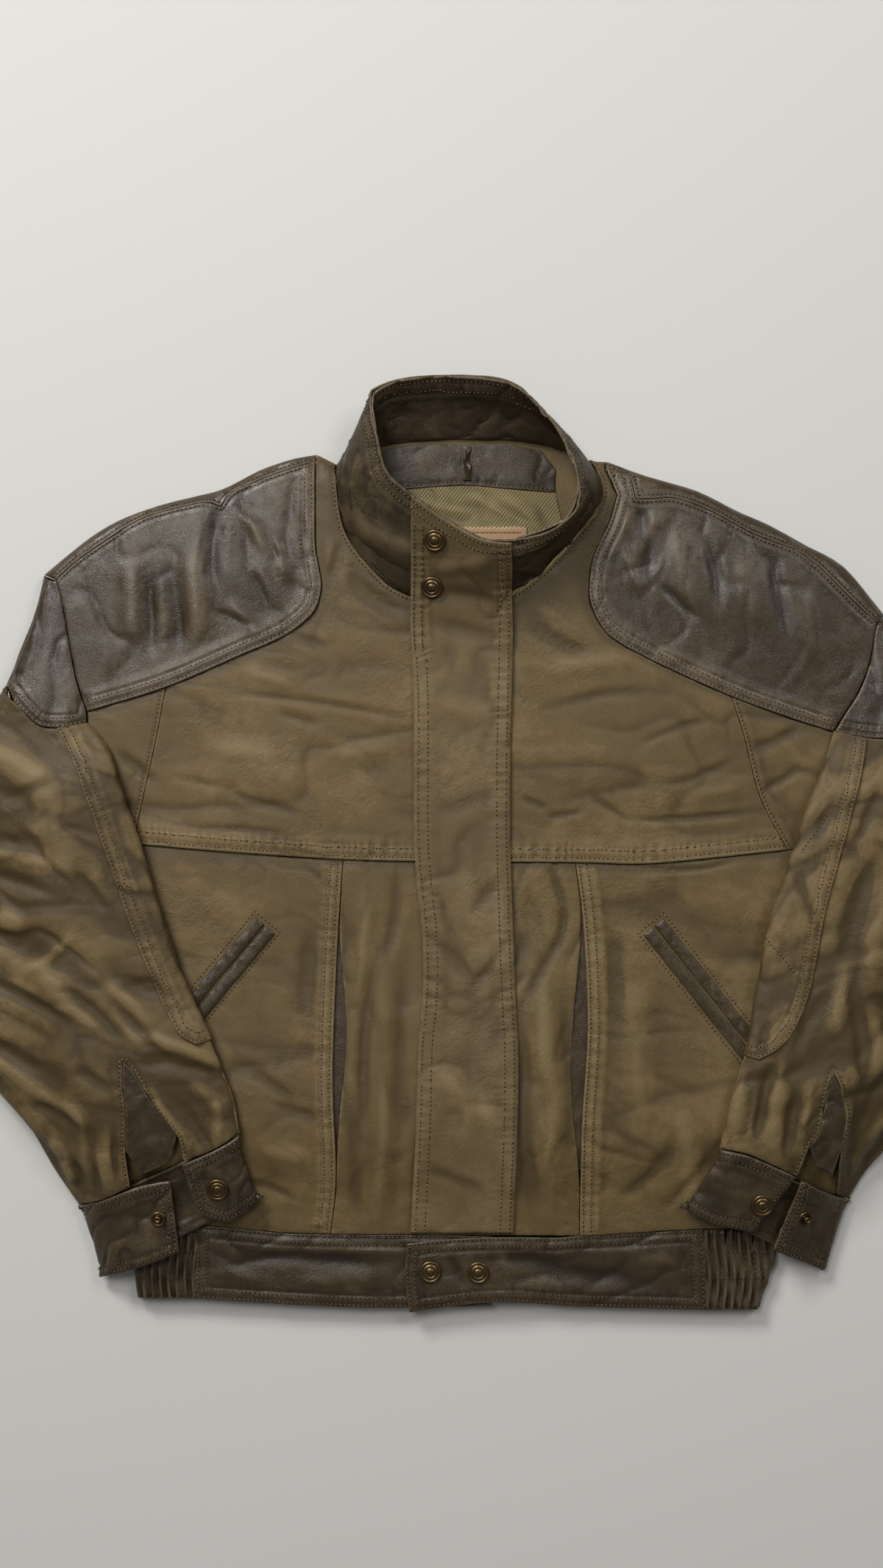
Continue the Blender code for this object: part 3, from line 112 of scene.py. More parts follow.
def inside(points: np.ndarray, ring: np.ndarray) -> np.ndarray:
    """Tell which points of the plan are within a closed ring.

    Args:
        points: the points to test, as rows of x and y.
        ring: the ring's corners in order, as rows of x and y.

    Returns:
        A truth value for each point.
    """
    x, y = points[:, 0:1], points[:, 1:2]
    x0, y0 = ring[:, 0], ring[:, 1]
    x1, y1 = np.roll(x0, -1), np.roll(y0, -1)
    level = np.where(y1 == y0, 1e-9, y1 - y0)
    crosses = ((y0 > y) != (y1 > y)) & (x < (x1 - x0) * (y - y0) / level + x0)
    return crosses.sum(axis=1) % 2 == 1


def sizes(rows: np.ndarray) -> np.ndarray:
    """The length of each row."""
    return np.linalg.norm(rows, axis=1)


def unit(rows: np.ndarray) -> np.ndarray:
    """The rows, each made one long."""
    return rows / (sizes(rows)[:, None] + 1e-9)


def lengths(rows: np.ndarray) -> np.ndarray:
    """The distance travelled along a line at each of its points."""
    return np.concatenate([[0.0], np.cumsum(sizes(np.diff(rows, axis=0)))])


def evenly(rows: np.ndarray, pitch: float) -> np.ndarray:
    """Points at an even pitch along a line.

    Args:
        rows: the line's points.
        pitch: the distance wanted between points.

    Returns:
        The new points, with the line's two ends among them.
    """
    travelled = lengths(rows)
    count = max(1, round(travelled[-1] / pitch))
    marks = np.linspace(0.0, travelled[-1], count + 1)
    return np.column_stack([np.interp(marks, travelled, rows[:, i]) for i in range(rows.shape[1])])


def rounded_ring(rows: np.ndarray, pitch: float) -> np.ndarray:
    """A smooth closed line through a coarse one's points, with its real corners kept.

    Args:
        rows: the coarse line's points.
        pitch: the distance wanted between the new points.

    Returns:
        The new points, with every coarse point among them.
    """
    before, after = np.roll(rows, 1, axis=0), np.roll(rows, -1, axis=0)
    come, go = rows - before, after - rows
    size_in = sizes(come) + 1e-9
    size_out = sizes(go) + 1e-9
    turn = np.degrees(np.arccos(np.clip((come * go).sum(axis=1) / size_in / size_out, -1.0, 1.0)))
    corner = turn > CORNER_TURN
    way = unit(come / size_in[:, None] + go / size_out[:, None])
    made = []
    for i in range(len(rows)):
        j = (i + 1) % len(rows)
        size = size_out[i]
        straight = go[i] / size
        start = straight if corner[i] else way[i]
        end = straight if corner[j] else way[j]
        share = np.arange(max(1, round(size / pitch)))[:, None] / max(1, round(size / pitch))
        cube, square = share ** 3, share ** 2
        made.append((2 * cube - 3 * square + 1) * rows[i] + (cube - 2 * square + share) * size * start
                    + (3 * square - 2 * cube) * rows[j] + (cube - square) * size * end)
    return np.vstack(made)


def tree_of(points: np.ndarray) -> KDTree:
    """A balanced search tree of points, which may be flat."""
    tree = KDTree(len(points))
    for index, point in enumerate(points):
        tree.insert((*point, 0.0)[:3], index)
    tree.balance()
    return tree


def near(points: np.ndarray, tree: KDTree) -> tuple[np.ndarray, np.ndarray]:
    """The nearest of a tree's points to each point.

    Args:
        points: rows of x, y and perhaps z.
        tree: the tree to search.

    Returns:
        The nearest points' numbers, and the distances to them.
    """
    found = [tree.find((*point, 0.0)[:3]) for point in points]
    return np.array([hit[1] for hit in found]), np.array([hit[2] for hit in found])


@dataclass(frozen=True)
class Crease:
    """A soft ridge, or a trough where its height is below 0, between two points of the plan.

    Attributes:
        start: where it starts.
        end: where it ends.
        width: half its breadth.
        height: how far it stands out in the middle.
        bow: how far its middle swings to the left of the straight way.
    """

    start: Point
    end: Point
    width: float
    height: float
    bow: float = 0.0

    def relief(self, plan: np.ndarray) -> np.ndarray:
        """The height that the crease adds at each point of the plan."""
        start, end = np.array(self.start), np.array(self.end)
        size = np.linalg.norm(end - start)
        way = (end - start) / size
        offset = plan - start
        share = offset @ way / size
        across = offset @ np.array([-way[1], way[0]])
        swing = np.clip(share, 0.0, 1.0)
        across = across - 4.0 * self.bow * swing * (1.0 - swing)
        fade = eased(-0.12, 0.3, share) * (1.0 - eased(0.7, 1.12, share))
        body = np.exp(-(across / self.width) ** 2)
        rims = 0.35 * np.exp(-(across / (2.1 * self.width)) ** 2)
        return self.height * fade * (body - rims)


def creases_at(*rows: tuple[float, ...]) -> tuple[Crease, ...]:
    """Creases, each from a row of its start's x and y, its end's, its width, height and bow."""
    return tuple(Crease(row[:2], row[2:4], *row[4:]) for row in rows)


@dataclass(frozen=True)
class Crumple:
    """Small creases all over a piece, in one main direction.

    Attributes:
        size: the usual distance between creases.
        depth: how deep they are.
        stretch: how much longer than wide they are.
        angle: the direction they run in, in degrees from +X.
        seed: which arrangement of them it is.
        sharp: how narrow each crease is beside the distance between them.
    """

    size: float
    depth: float
    stretch: float = 2.5
    angle: float = 0.0
    seed: float = 0.0
    sharp: float = 3.0

    def relief(self, points: np.ndarray) -> np.ndarray:
        """The height that the creases add at each point, mostly below 0."""
        turn = math.radians(self.angle)
        x, y = points[:, 0], points[:, 1]
        z = points[:, 2] if points.shape[1] > 2 else np.zeros(len(points))
        along = (x * math.cos(turn) + y * math.sin(turn)) / (self.size * self.stretch)
        across = (y * math.cos(turn) - x * math.sin(turn)) / self.size
        rise = z / self.size
        made = np.empty(len(points))
        for i, (u, v, w) in enumerate(zip(along, across, rise)):
            bend = 0.7 * noise.noise(Vector((u * 1.3 + 7.0, v * 0.6, self.seed + w * 0.5)))
            crest = noise.noise(Vector((u + bend, v + bend, self.seed + 3.0 + w)))
            gate = noise.noise(Vector((u * 0.7, v * 0.45, self.seed + 11.0 + w * 0.4)))
            narrow = (1.0 - abs(crest)) ** (2.0 * self.sharp)
            made[i] = 0.55 * crest - narrow * (0.35 + 0.65 * max(0.0, min(1.0, 0.5 + 2.2 * gate)))
        return self.depth * made


# How close two corners of a solid are to be one
SAME_PLACE = 0.004
# How far an edge across a piece's rim may be off the piece's thickness
RIM_EDGE = 0.02
# The usual limit of the turn, as a cosine, between neighbouring facets of one sheet
SHARPEST = 0.2
# The least width that a cut is stated with
NARROWEST = 10.2
# A height over everything on the floor
ABOVE_ALL = 500.0
# How deep a row of stitches is pressed into a hem, and how broad its furrow is
FURROW_DEPTH = 0.6
FURROW_WIDTH = 1.1


def sheets_of(node: str, wall: float,
              sharpest: float = SHARPEST) -> list[tuple[np.ndarray, np.ndarray, np.ndarray]]:
    """The two broad sheets of a piece's solid, without the rim between them.

    Args:
        node: the node's name.
        wall: the thickness of its solid, which tells the edges across its rim.
        sharpest: the sharpest turn, as a cosine, between neighbouring facets of one sheet.

    Returns:
        For each sheet, its points, its triangles and its summed facing, the largest first.
    """
    data = frame["nodes"][node].data
    corners = np.empty(len(data.vertices) * 3)
    data.vertices.foreach_get("co", corners)
    corners = corners.reshape(-1, 3) / MM
    _, first, number = np.unique(np.round(corners / SAME_PLACE).astype(np.int64), axis=0,
                                 return_index=True, return_inverse=True)
    points = corners[first]
    data.calc_loop_triangles()
    triangles = number.reshape(-1)[np.array([list(t.vertices) for t in data.loop_triangles])]
    sides = points[triangles[:, [1, 2, 0]]] - points[triangles]
    cross = np.cross(sides[:, 0], sides[:, 1])
    over_rim = np.abs(np.linalg.norm(sides, axis=2) - wall).min(axis=1) < RIM_EDGE
    keep = ~over_rim & (sizes(cross) > 1e-6)
    triangles, cross = triangles[keep], cross[keep]
    facing = cross / sizes(cross)[:, None]
    edges = np.sort(triangles[:, [0, 1, 1, 2, 2, 0]].reshape(-1, 2), axis=1)
    order = np.lexsort((edges[:, 1], edges[:, 0]))
    same = (edges[order[:-1]] == edges[order[1:]]).all(axis=1)
    first, second = order[:-1][same] // 3, order[1:][same] // 3
    joined = (facing[first] * facing[second]).sum(axis=1) > sharpest
    first, second = first[joined], second[joined]
    which = np.arange(len(triangles))
    changed = True
    while changed:
        before = which.copy()
        low = np.minimum(which[first], which[second])
        np.minimum.at(which, first, low)
        np.minimum.at(which, second, low)
        changed = bool((before != which).any())
    size = {int(mark): float(sizes(cross[which == mark]).sum()) for mark in np.unique(which)}
    made = []
    for mark in sorted(size, key=lambda mark: -size[mark])[:2]:
        used, flat = np.unique(triangles[which == mark], return_inverse=True)
        made.append((points[used], flat.reshape(-1, 3), cross[which == mark].sum(axis=0)))
    return made


def rim_of(faces: np.ndarray) -> np.ndarray:
    """The longest rim of a sheet.

    Args:
        faces: the sheet's triangles.

    Returns:
        The numbers of the points round the rim, in order.
    """
    edges = np.vstack([faces[:, [0, 1]], faces[:, [1, 2]], faces[:, [2, 0]]])
    known = {tuple(edge) for edge in edges.tolist()}
    following = {a: b for a, b in known if (b, a) not in known}
    rims = []
    while following:
        start = next(iter(following))
        rim = [start]
        step = following.pop(start)
        while step != start and step in following:
            rim.append(step)
            step = following.pop(step)
        rims.append(rim)
    return np.array(max(rims, key=len))


def relaxed(values: np.ndarray, faces: np.ndarray, rounds: int, share: np.ndarray) -> np.ndarray:
    """Even out values over a mesh by drawing each towards the mean of its neighbours.

    Args:
        values: one row for each point.
        faces: the mesh's triangles.
        rounds: how often to do it.
        share: how far each point is drawn, from 0 to 1.

    Returns:
        The evened values.
    """
    edges = np.vstack([faces[:, [0, 1]], faces[:, [1, 2]], faces[:, [2, 0]]])
    edges = np.unique(np.sort(edges, axis=1), axis=0)
    ends = np.concatenate([edges[:, 0], edges[:, 1]])
    others = np.concatenate([edges[:, 1], edges[:, 0]])
    count = np.maximum(np.bincount(ends, minlength=len(values)), 1)
    made = values.copy()
    for _ in range(rounds):
        for i in range(values.shape[1]):
            mean = np.bincount(ends, weights=made[others, i], minlength=len(values)) / count
            made[:, i] += share * (mean - made[:, i])
    return made


def split_faces(points: np.ndarray, faces: np.ndarray) -> tuple[np.ndarray, np.ndarray]:
    """Split every triangle of a mesh into four.

    Args:
        points: the mesh's points.
        faces: its triangles.

    Returns:
        The points with the middles of the edges after them, and the new triangles.
    """
    edges = np.sort(faces[:, [0, 1, 1, 2, 2, 0]].reshape(-1, 2), axis=1)
    unique, number = np.unique(edges, axis=0, return_inverse=True)
    middle = number.reshape(-1, 3) + len(points)
    made = [[faces[:, 0], middle[:, 0], middle[:, 2]], [middle[:, 0], faces[:, 1], middle[:, 1]],
            [middle[:, 2], middle[:, 1], faces[:, 2]], [middle[:, 0], middle[:, 1], middle[:, 2]]]
    fresh = np.vstack([np.column_stack(three) for three in made])
    return np.vstack([points, points[unique].mean(axis=1)]), fresh


@dataclass(frozen=True)
class Weave:
    """How finely a piece is meshed.

    Attributes:
        along: the pitch of the points round its rim.
        spacing: the pitch of the points inside it.
        insets: how far inside the rim the rows of points beside it run.
    """

    along: float = 2.0
    spacing: float = 2.5
    insets: tuple[float, ...] = (0.6, 1.4, 2.5, 3.6, 5.0, 6.4, 7.6, 8.7, 9.8, 11.2)


SHOWN = Weave()
FINE = Weave(1.4, 1.9, (0.6, 1.4, 2.8, 4.6))
HIDDEN = Weave(7.0, 10.0, (0.8, 3.5))
# The height of a triangle of even sides, beside its side
EVEN_HEIGHT = 0.866


def plan_points(ring: np.ndarray, weave: Weave) -> np.ndarray:
    """The points to mesh a piece of the plan with.

    Args:
        ring: the piece's rim, as even rows of x and y.
        weave: how finely it is meshed.

    Returns:
        The rim's points, the rows beside it, and a grid of even triangles inside those.
    """
    way = np.roll(ring, -1, axis=0) - np.roll(ring, 1, axis=0)
    inward = unit(np.column_stack([-way[:, 1], way[:, 0]]))
    tree = tree_of(ring)
    rows = [ring]
    for inset in weave.insets:
        row = ring + inset * inward
        clear = near(row, tree)[1] > 0.9 * inset
        rows.append(row[clear & inside(row, ring)])
    low, high = ring.min(axis=0), ring.max(axis=0)
    pitch = weave.spacing
    across = np.arange(low[0], high[0], pitch)
    up = np.arange(low[1], high[1], pitch * EVEN_HEIGHT)
    grid = np.array([(x + 0.5 * pitch * (j % 2), y) for j, y in enumerate(up) for x in across])
    grid = grid[inside(grid, ring)]
    return np.vstack([*rows, grid[near(grid, tree)[1] > weave.insets[-1] + 0.6 * pitch]])


def plan_mesh(ring: np.ndarray, weave: Weave) -> tuple[np.ndarray, np.ndarray]:
    """Fill a rim of the plan with triangles.

    Args:
        ring: the piece's rim, as even rows of x and y.
        weave: how finely it is meshed.

    Returns:
        The mesh's points, as rows of x and y, and its triangles.
    """
    count = len(ring)
    turn = [(i, (i + 1) % count) for i in range(count)]
    made = delaunay_2d_cdt([Vector(p) for p in plan_points(ring, weave)], turn, [], 0, 1e-4)
    plan = np.array([tuple(p) for p in made[0]])
    triangles = np.array([f for f in made[2] if len(f) == 3])
    triangles = triangles[inside(plan[triangles].mean(axis=1), ring)]
    used, flat = np.unique(triangles, return_inverse=True)
    return plan[used], flat.reshape(-1, 3)


def heights_over(plan: np.ndarray, points: np.ndarray, faces: np.ndarray) -> np.ndarray:
    """The height of a coarse sheet at each point of the plan.

    Args:
        plan: the points, as rows of x and y.
        points: the sheet's points.
        faces: its triangles.

    Returns:
        The heights, on the plane of the nearest triangle.
    """
    below = BVHTree.FromPolygons([(x, y, 0.0) for x, y, _ in points], faces.tolist())
    height = np.empty(len(plan))
    for i, (x, y) in enumerate(plan):
        spot, _, which, _ = below.find_nearest((x, y, 0.0))
        a, b, c = points[faces[which]]
        cover = np.array([[a[0], b[0], c[0]], [a[1], b[1], c[1]], [1.0, 1.0, 1.0]])
        share = np.linalg.lstsq(cover, np.array([spot[0], spot[1], 1.0]), rcond=None)[0]
        height[i] = share @ (a[2], b[2], c[2])
    return height


def carried(mesh: bpy.types.Mesh) -> bpy.types.Object:
    """Put a finished mesh in the scene under its own name, as a part of the jacket."""
    made = bpy.data.objects.new(mesh.name, mesh)
    bpy.context.scene.collection.objects.link(made)
    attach(made, "root")
    return made


class Skin:
    """The shown sheet of one leather or lining piece, before it gets its thickness."""

    def __init__(self, node: str, wall: float, points: np.ndarray, faces: np.ndarray,
                 rim: np.ndarray) -> None:
        """Keep the sheet's mesh and measure how far each point is from its rim.

        Args:
            node: the node that the piece stands for.
            wall: the thickness of the piece.
            points: the sheet's points.
            faces: its triangles.
            rim: the numbers of the points round its rim, in order.
        """
        self.node = node
        self.wall = wall
        self.points = points
        self.faces = faces
        self.rim = rim
        self.shade = np.zeros(len(points))
        self.inset = near(points, tree_of(points[rim]))[1]

    @classmethod
    def in_plan(cls, node: str, wall: float, facing: Facing = Facing.UP, weave: Weave = SHOWN,
                calm: int = 30) -> "Skin":
        """Mesh a piece that is a height over the plan.

        Args:
            node: the node's name.
            wall: the thickness of the piece.
            facing: the way its shown sheet faces.
            weave: how finely it is meshed.
            calm: how often its heights are evened out.

        Returns:
            The piece's sheet.
        """
        sheets = sheets_of(node, wall)
        points, faces, _ = max(sheets, key=lambda sheet: sheet[2][2] * facing.value)
        ring = points[rim_of(faces)][:, :2]
        if facing is Facing.DOWN:
            ring = ring[::-1]
        dense = rounded_ring(ring, weave.along)
        plan, triangles = plan_mesh(dense, weave)
        height = heights_over(plan, points, faces)
        rim = rim_of(triangles)
        free = 0.7 * eased(2.0, 12.0, near(plan, tree_of(dense))[1])
        height = relaxed(height[:, None], triangles, calm, free)[:, 0]
        if facing is Facing.DOWN:
            triangles = triangles[:, ::-1]
            rim = rim[::-1]
        return cls(node, wall, np.column_stack([plan, height]), triangles, rim)

    @classmethod
    def in_form(cls, node: str, wall: float, splits: int = 2, outer: Vector | None = None,
                largest: bool = True, sharpest: float = SHARPEST) -> "Skin":
        """Mesh a piece that stands up or wraps round, from its solid's own sheet.

        Args:
            node: the node's name.
            wall: the thickness of the piece.
            splits: how often each triangle is split into four.
            outer: the way the shown sheet faces, where it isn't told by its size.
            largest: whether the shown sheet is the larger one.
            sharpest: the sharpest turn, as a cosine, that it has.

        Returns:
            The piece's sheet.
        """
        sheets = sheets_of(node, wall, sharpest)
        if outer is not None:
            sheets.sort(key=lambda sheet: -(sheet[2] @ np.array(outer)))
        elif not largest:
            sheets.reverse()
        points, faces, _ = sheets[0]
        for _ in range(splits):
            points, faces = split_faces(points, faces)
            rim = rim_of(faces)
            on_rim = np.zeros(len(points), bool)
            on_rim[rim] = True
            points = relaxed(points, faces, 2, np.where(on_rim, 0.0, 0.5))
            come = points[rim] - points[np.roll(rim, 1)]
            go = points[np.roll(rim, -1)] - points[rim]
            size = sizes(come) * sizes(go) + 1e-9
            gentle = (come * go).sum(axis=1) / size > math.cos(math.radians(CORNER_TURN))
            mean = 0.5 * (points[np.roll(rim, 1)] + points[np.roll(rim, -1)])
            points[rim] += 0.35 * gentle[:, None] * (mean - points[rim])
        return cls(node, wall, points, faces, rim_of(faces))

    def normals(self) -> np.ndarray:
        """The outward direction at each point of the sheet."""
        a, b, c = (self.points[self.faces[:, i]] for i in range(3))
        cross = np.cross(b - a, c - a)
        made = np.empty_like(self.points)
        for i in range(3):
            made[:, i] = sum(np.bincount(self.faces[:, j], weights=cross[:, i],
                                         minlength=len(self.points)) for j in range(3))
        return made / (sizes(made)[:, None] + 1e-12)

    def area(self) -> float:
        """The sheet's area, in square millimetres."""
        a, b, c = (self.points[self.faces[:, i]] for i in range(3))
        return 0.5 * float(sizes(np.cross(b - a, c - a)).sum())

    def cut_size(self) -> tuple[float, float]:
        """The width and length of the smallest upright block that the piece is cut from."""
        ring = self.points[self.rim][:, :2]
        blocks = []
        for angle in np.radians(np.arange(0.0, 90.0, 3.0)):
            turned = ring @ np.array([[math.cos(angle), -math.sin(angle)],
                                      [math.sin(angle), math.cos(angle)]])
            blocks.append(tuple(np.ptp(turned, axis=0)))
        return min(blocks, key=lambda size: size[0] * size[1])

    def press(self, relief: np.ndarray, tone: float = 0.5) -> "Skin":
        """Move the sheet's points outward by a relief, and shade its troughs and ridges.

        Args:
            relief: the height to add at each point.
            tone: how strongly a millimetre of it shades the leather.

        Returns:
            The sheet itself.
        """
        self.points = self.points + self.normals() * relief[:, None]
        self.shade += tone * relief
        return self

    def roll(self, drop: float = 0.55, reach: float = 1.5) -> "Skin":
        """Round the sheet's rim over, as a folded edge is."""
        share = np.clip(1.0 - self.inset / reach, 0.0, 1.0)
        self.points = self.points - self.normals() * (drop * share ** 2)[:, None]
        return self

    def stretch(self, start: tuple, end: tuple, via: tuple | None = None) -> np.ndarray:
        """The numbers of the rim's points from one place to another.

        Args:
            start: a place near the rim, of the plan or in space.
            end: another one.
            via: a place that the way goes past; without it the shorter way is taken.

        Returns:
            The numbers, in order.
        """
        ring = self.points[self.rim][:, :len(start)]
        first, last = (int(sizes(ring - spot).argmin()) for spot in (start, end))
        ahead = np.arange(first, last + (len(ring) if last < first else 0) + 1) % len(ring)
        back = np.arange(first, last - (len(ring) if last > first else 0) - 1, -1) % len(ring)
        if via is not None:
            gap = [sizes(ring[way] - via).min() for way in (ahead, back)]
            return self.rim[ahead if gap[0] <= gap[1] else back]
        far = [lengths(ring[way])[-1] if len(way) > 1 else math.inf for way in (ahead, back)]
        return self.rim[ahead if far[0] <= far[1] else back]

    def tree(self) -> BVHTree:
        """A search tree of the sheet as it is now."""
        return BVHTree.FromPolygons(self.points.tolist(), self.faces.tolist())

    def under(self, plan: np.ndarray) -> np.ndarray:
        """A line of the plan, let down on to the sheet."""
        tree = self.tree()
        hits = [tree.ray_cast(Vector((x, y, ABOVE_ALL)), Vector((0.0, 0.0, -1.0)))[0] for x, y in plan]
        return np.array([tuple(hit) for hit in hits if hit is not None])

    def beside(self, way: np.ndarray, inset: float) -> np.ndarray:
        """A line on the sheet, at an even distance inside its rim.

        Args:
            way: numbers of rim points, in order.
            inset: how far inside the rim the line runs.

        Returns:
            The line's points, a millimetre apart and near the sheet but not quite on it.
        """
        line = self.points[way]
        step = np.gradient(line, axis=0)
        step = np.column_stack([np.convolve(np.pad(step[:, i], 2, mode="edge"), np.ones(5) / 5,
                                            mode="valid") for i in range(3)])
        out = self.normals()[way]
        inward = unit(np.cross(out, step))
        place = {int(n): i for i, n in enumerate(self.rim)}
        forward = (place[int(way[min(1, len(way) - 1)])] - place[int(way[0])]) % len(self.rim) < 3
        line = line + inward * (inset if forward else -inset)
        return evenly(line, 1.0)

    def tuck(self, way: np.ndarray, depth: float = 0.9, reach: float = 5.0) -> "Skin":
        """Lower the sheet beside part of its rim, where it goes under its neighbour, and paint shade into
        the dip.
        """
        gap = near(self.points, tree_of(self.points[way]))[1]
        return self.press(-depth * np.exp(-(gap / reach) ** 2), 0.9)

    def hem(self, way: np.ndarray, rows: tuple[float, ...], pucker: float = 0.25,
            pitch: float = 6.5, lift: float = 0.0, seed: float = 0.0) -> "Skin":
        """Press stitched furrows and their puckers along part of the rim, with painted shade in the
        furrows, painted highlights on the puckers and a painted shadow line just beyond the hem.

        Args:
            way: numbers of the rim points that the hem runs along.
            rows: how far inside the rim each row of stitches runs.
            pucker: the height of the puckers.
            pitch: the distance between puckers.
            lift: how far the hem stands above the sheet, as where leather is folded under.
            seed: which arrangement of puckers it is.

        Returns:
            The sheet itself.
        """
        line = self.points[way]
        closest, gap = near(self.points, tree_of(line))
        travel = lengths(line)[closest]
        outer = max(rows) + 2.0
        inside_hem = gap < outer + 6.0
        fade = eased(0.0, 6.0, travel) * (1.0 - eased(travel.max() - 6.0, travel.max(), travel))
        relief = np.zeros(len(gap))
        for row in rows:
            relief -= FURROW_DEPTH * np.exp(-((gap - row) / FURROW_WIDTH) ** 2)
        sway = np.array([noise.noise(Vector((t / 23.0, seed, 0.5))) for t in lengths(line)])
        phase = (travel / pitch + 1.6 * sway[closest]) * 2.0 * math.pi
        strength = 0.55 + 0.9 * np.array([noise.noise(Vector((t / 17.0, seed + 5.0, 2.5)))
                                          for t in lengths(line)])[closest]
        middle = 0.5 * (min(rows) + max(rows)) if len(rows) > 1 else rows[0]
        breadth = max(3.0, 0.75 * (max(rows) - min(rows)) + 1.5)
        relief += pucker * np.sin(phase) * strength * np.exp(-((gap - middle) / breadth) ** 2)
        relief += lift * (1.0 - eased(outer - 1.0, outer + 5.0, gap))
        relief = np.where(inside_hem, relief * np.maximum(fade, 0.25), 0.0)
        # Painted shadow: a dark line just beyond the hem, where the raised hem would cast shade
        self.shade -= 0.35 * np.exp(-((gap - outer - 2.0) / 2.2) ** 2)
        return self.press(relief, 0.95)

    def piece(self, finish: "Finish", slot: str,
              cut: tuple[float, float] | None = None) -> bpy.types.Object:
        """Give the sheet its thickness and make the finished piece.

        Args:
            finish: the leather or cloth that it is made of.
            slot: the material slot of the record; it is not used.
            cut: its flat width and length, where the plan doesn't tell them.

        Returns:
            The piece's object.
        """
        count = len(self.points)
        out = self.normals()
        below = self.points - out * self.wall
        ring = self.rim
        after = np.roll(ring, -1)
        wall_faces = np.column_stack([after, ring, ring + count, after + count])
        mesh = bpy.data.meshes.new(f"{self.node}_leather")
        faces = self.faces.tolist() + (self.faces[:, ::-1] + count).tolist() + wall_faces.tolist()
        mesh.from_pydata((np.vstack([self.points, below]) * MM).tolist(), [], faces)
        mesh.shade_smooth()
        # Masks that the colour reads: the first for the worn rim, which partly stands in as a painted
        # highlight; the next for painted shade in troughs and painted highlights on ridges; the last for
        # painted shade beside the seams
        for label, values in (("rim", np.exp(-self.inset / 1.6)), ("shade_and_highlight", self.shade),
                              ("seam", np.exp(-self.inset / 7.0))):
            layer = mesh.attributes.new(label, "FLOAT", "POINT")
            layer.data.foreach_set("value", np.concatenate([values, values]).astype(np.float32))
        mesh.materials.append(finish.material())
        made = carried(mesh)
        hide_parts(self.node)
        size = np.maximum(cut or self.cut_size(), NARROWEST)
        area = self.area()
        flat = tuple(float(side) * MM for side in size * math.sqrt(max(1.0, area / size.prod())))
        LOG.info("%s: %d faces, cut %.0f x %.0f mm", mesh.name, len(mesh.polygons), flat[0] / MM,
                 flat[1] / MM)
        return made


# How far a stitch's middle lies over the leather, as a share of its thickness, less a sunk depth
RAISED = 0.32
SUNK = 0.08
# The directions of the six corners round a stitch, and round the painted shade at a needle puncture
SIX_WAYS = np.radians(np.arange(0.0, 360.0, 60.0))
# How far each stitch is turned from its row, in degrees
STITCH_LEAN = 7.0


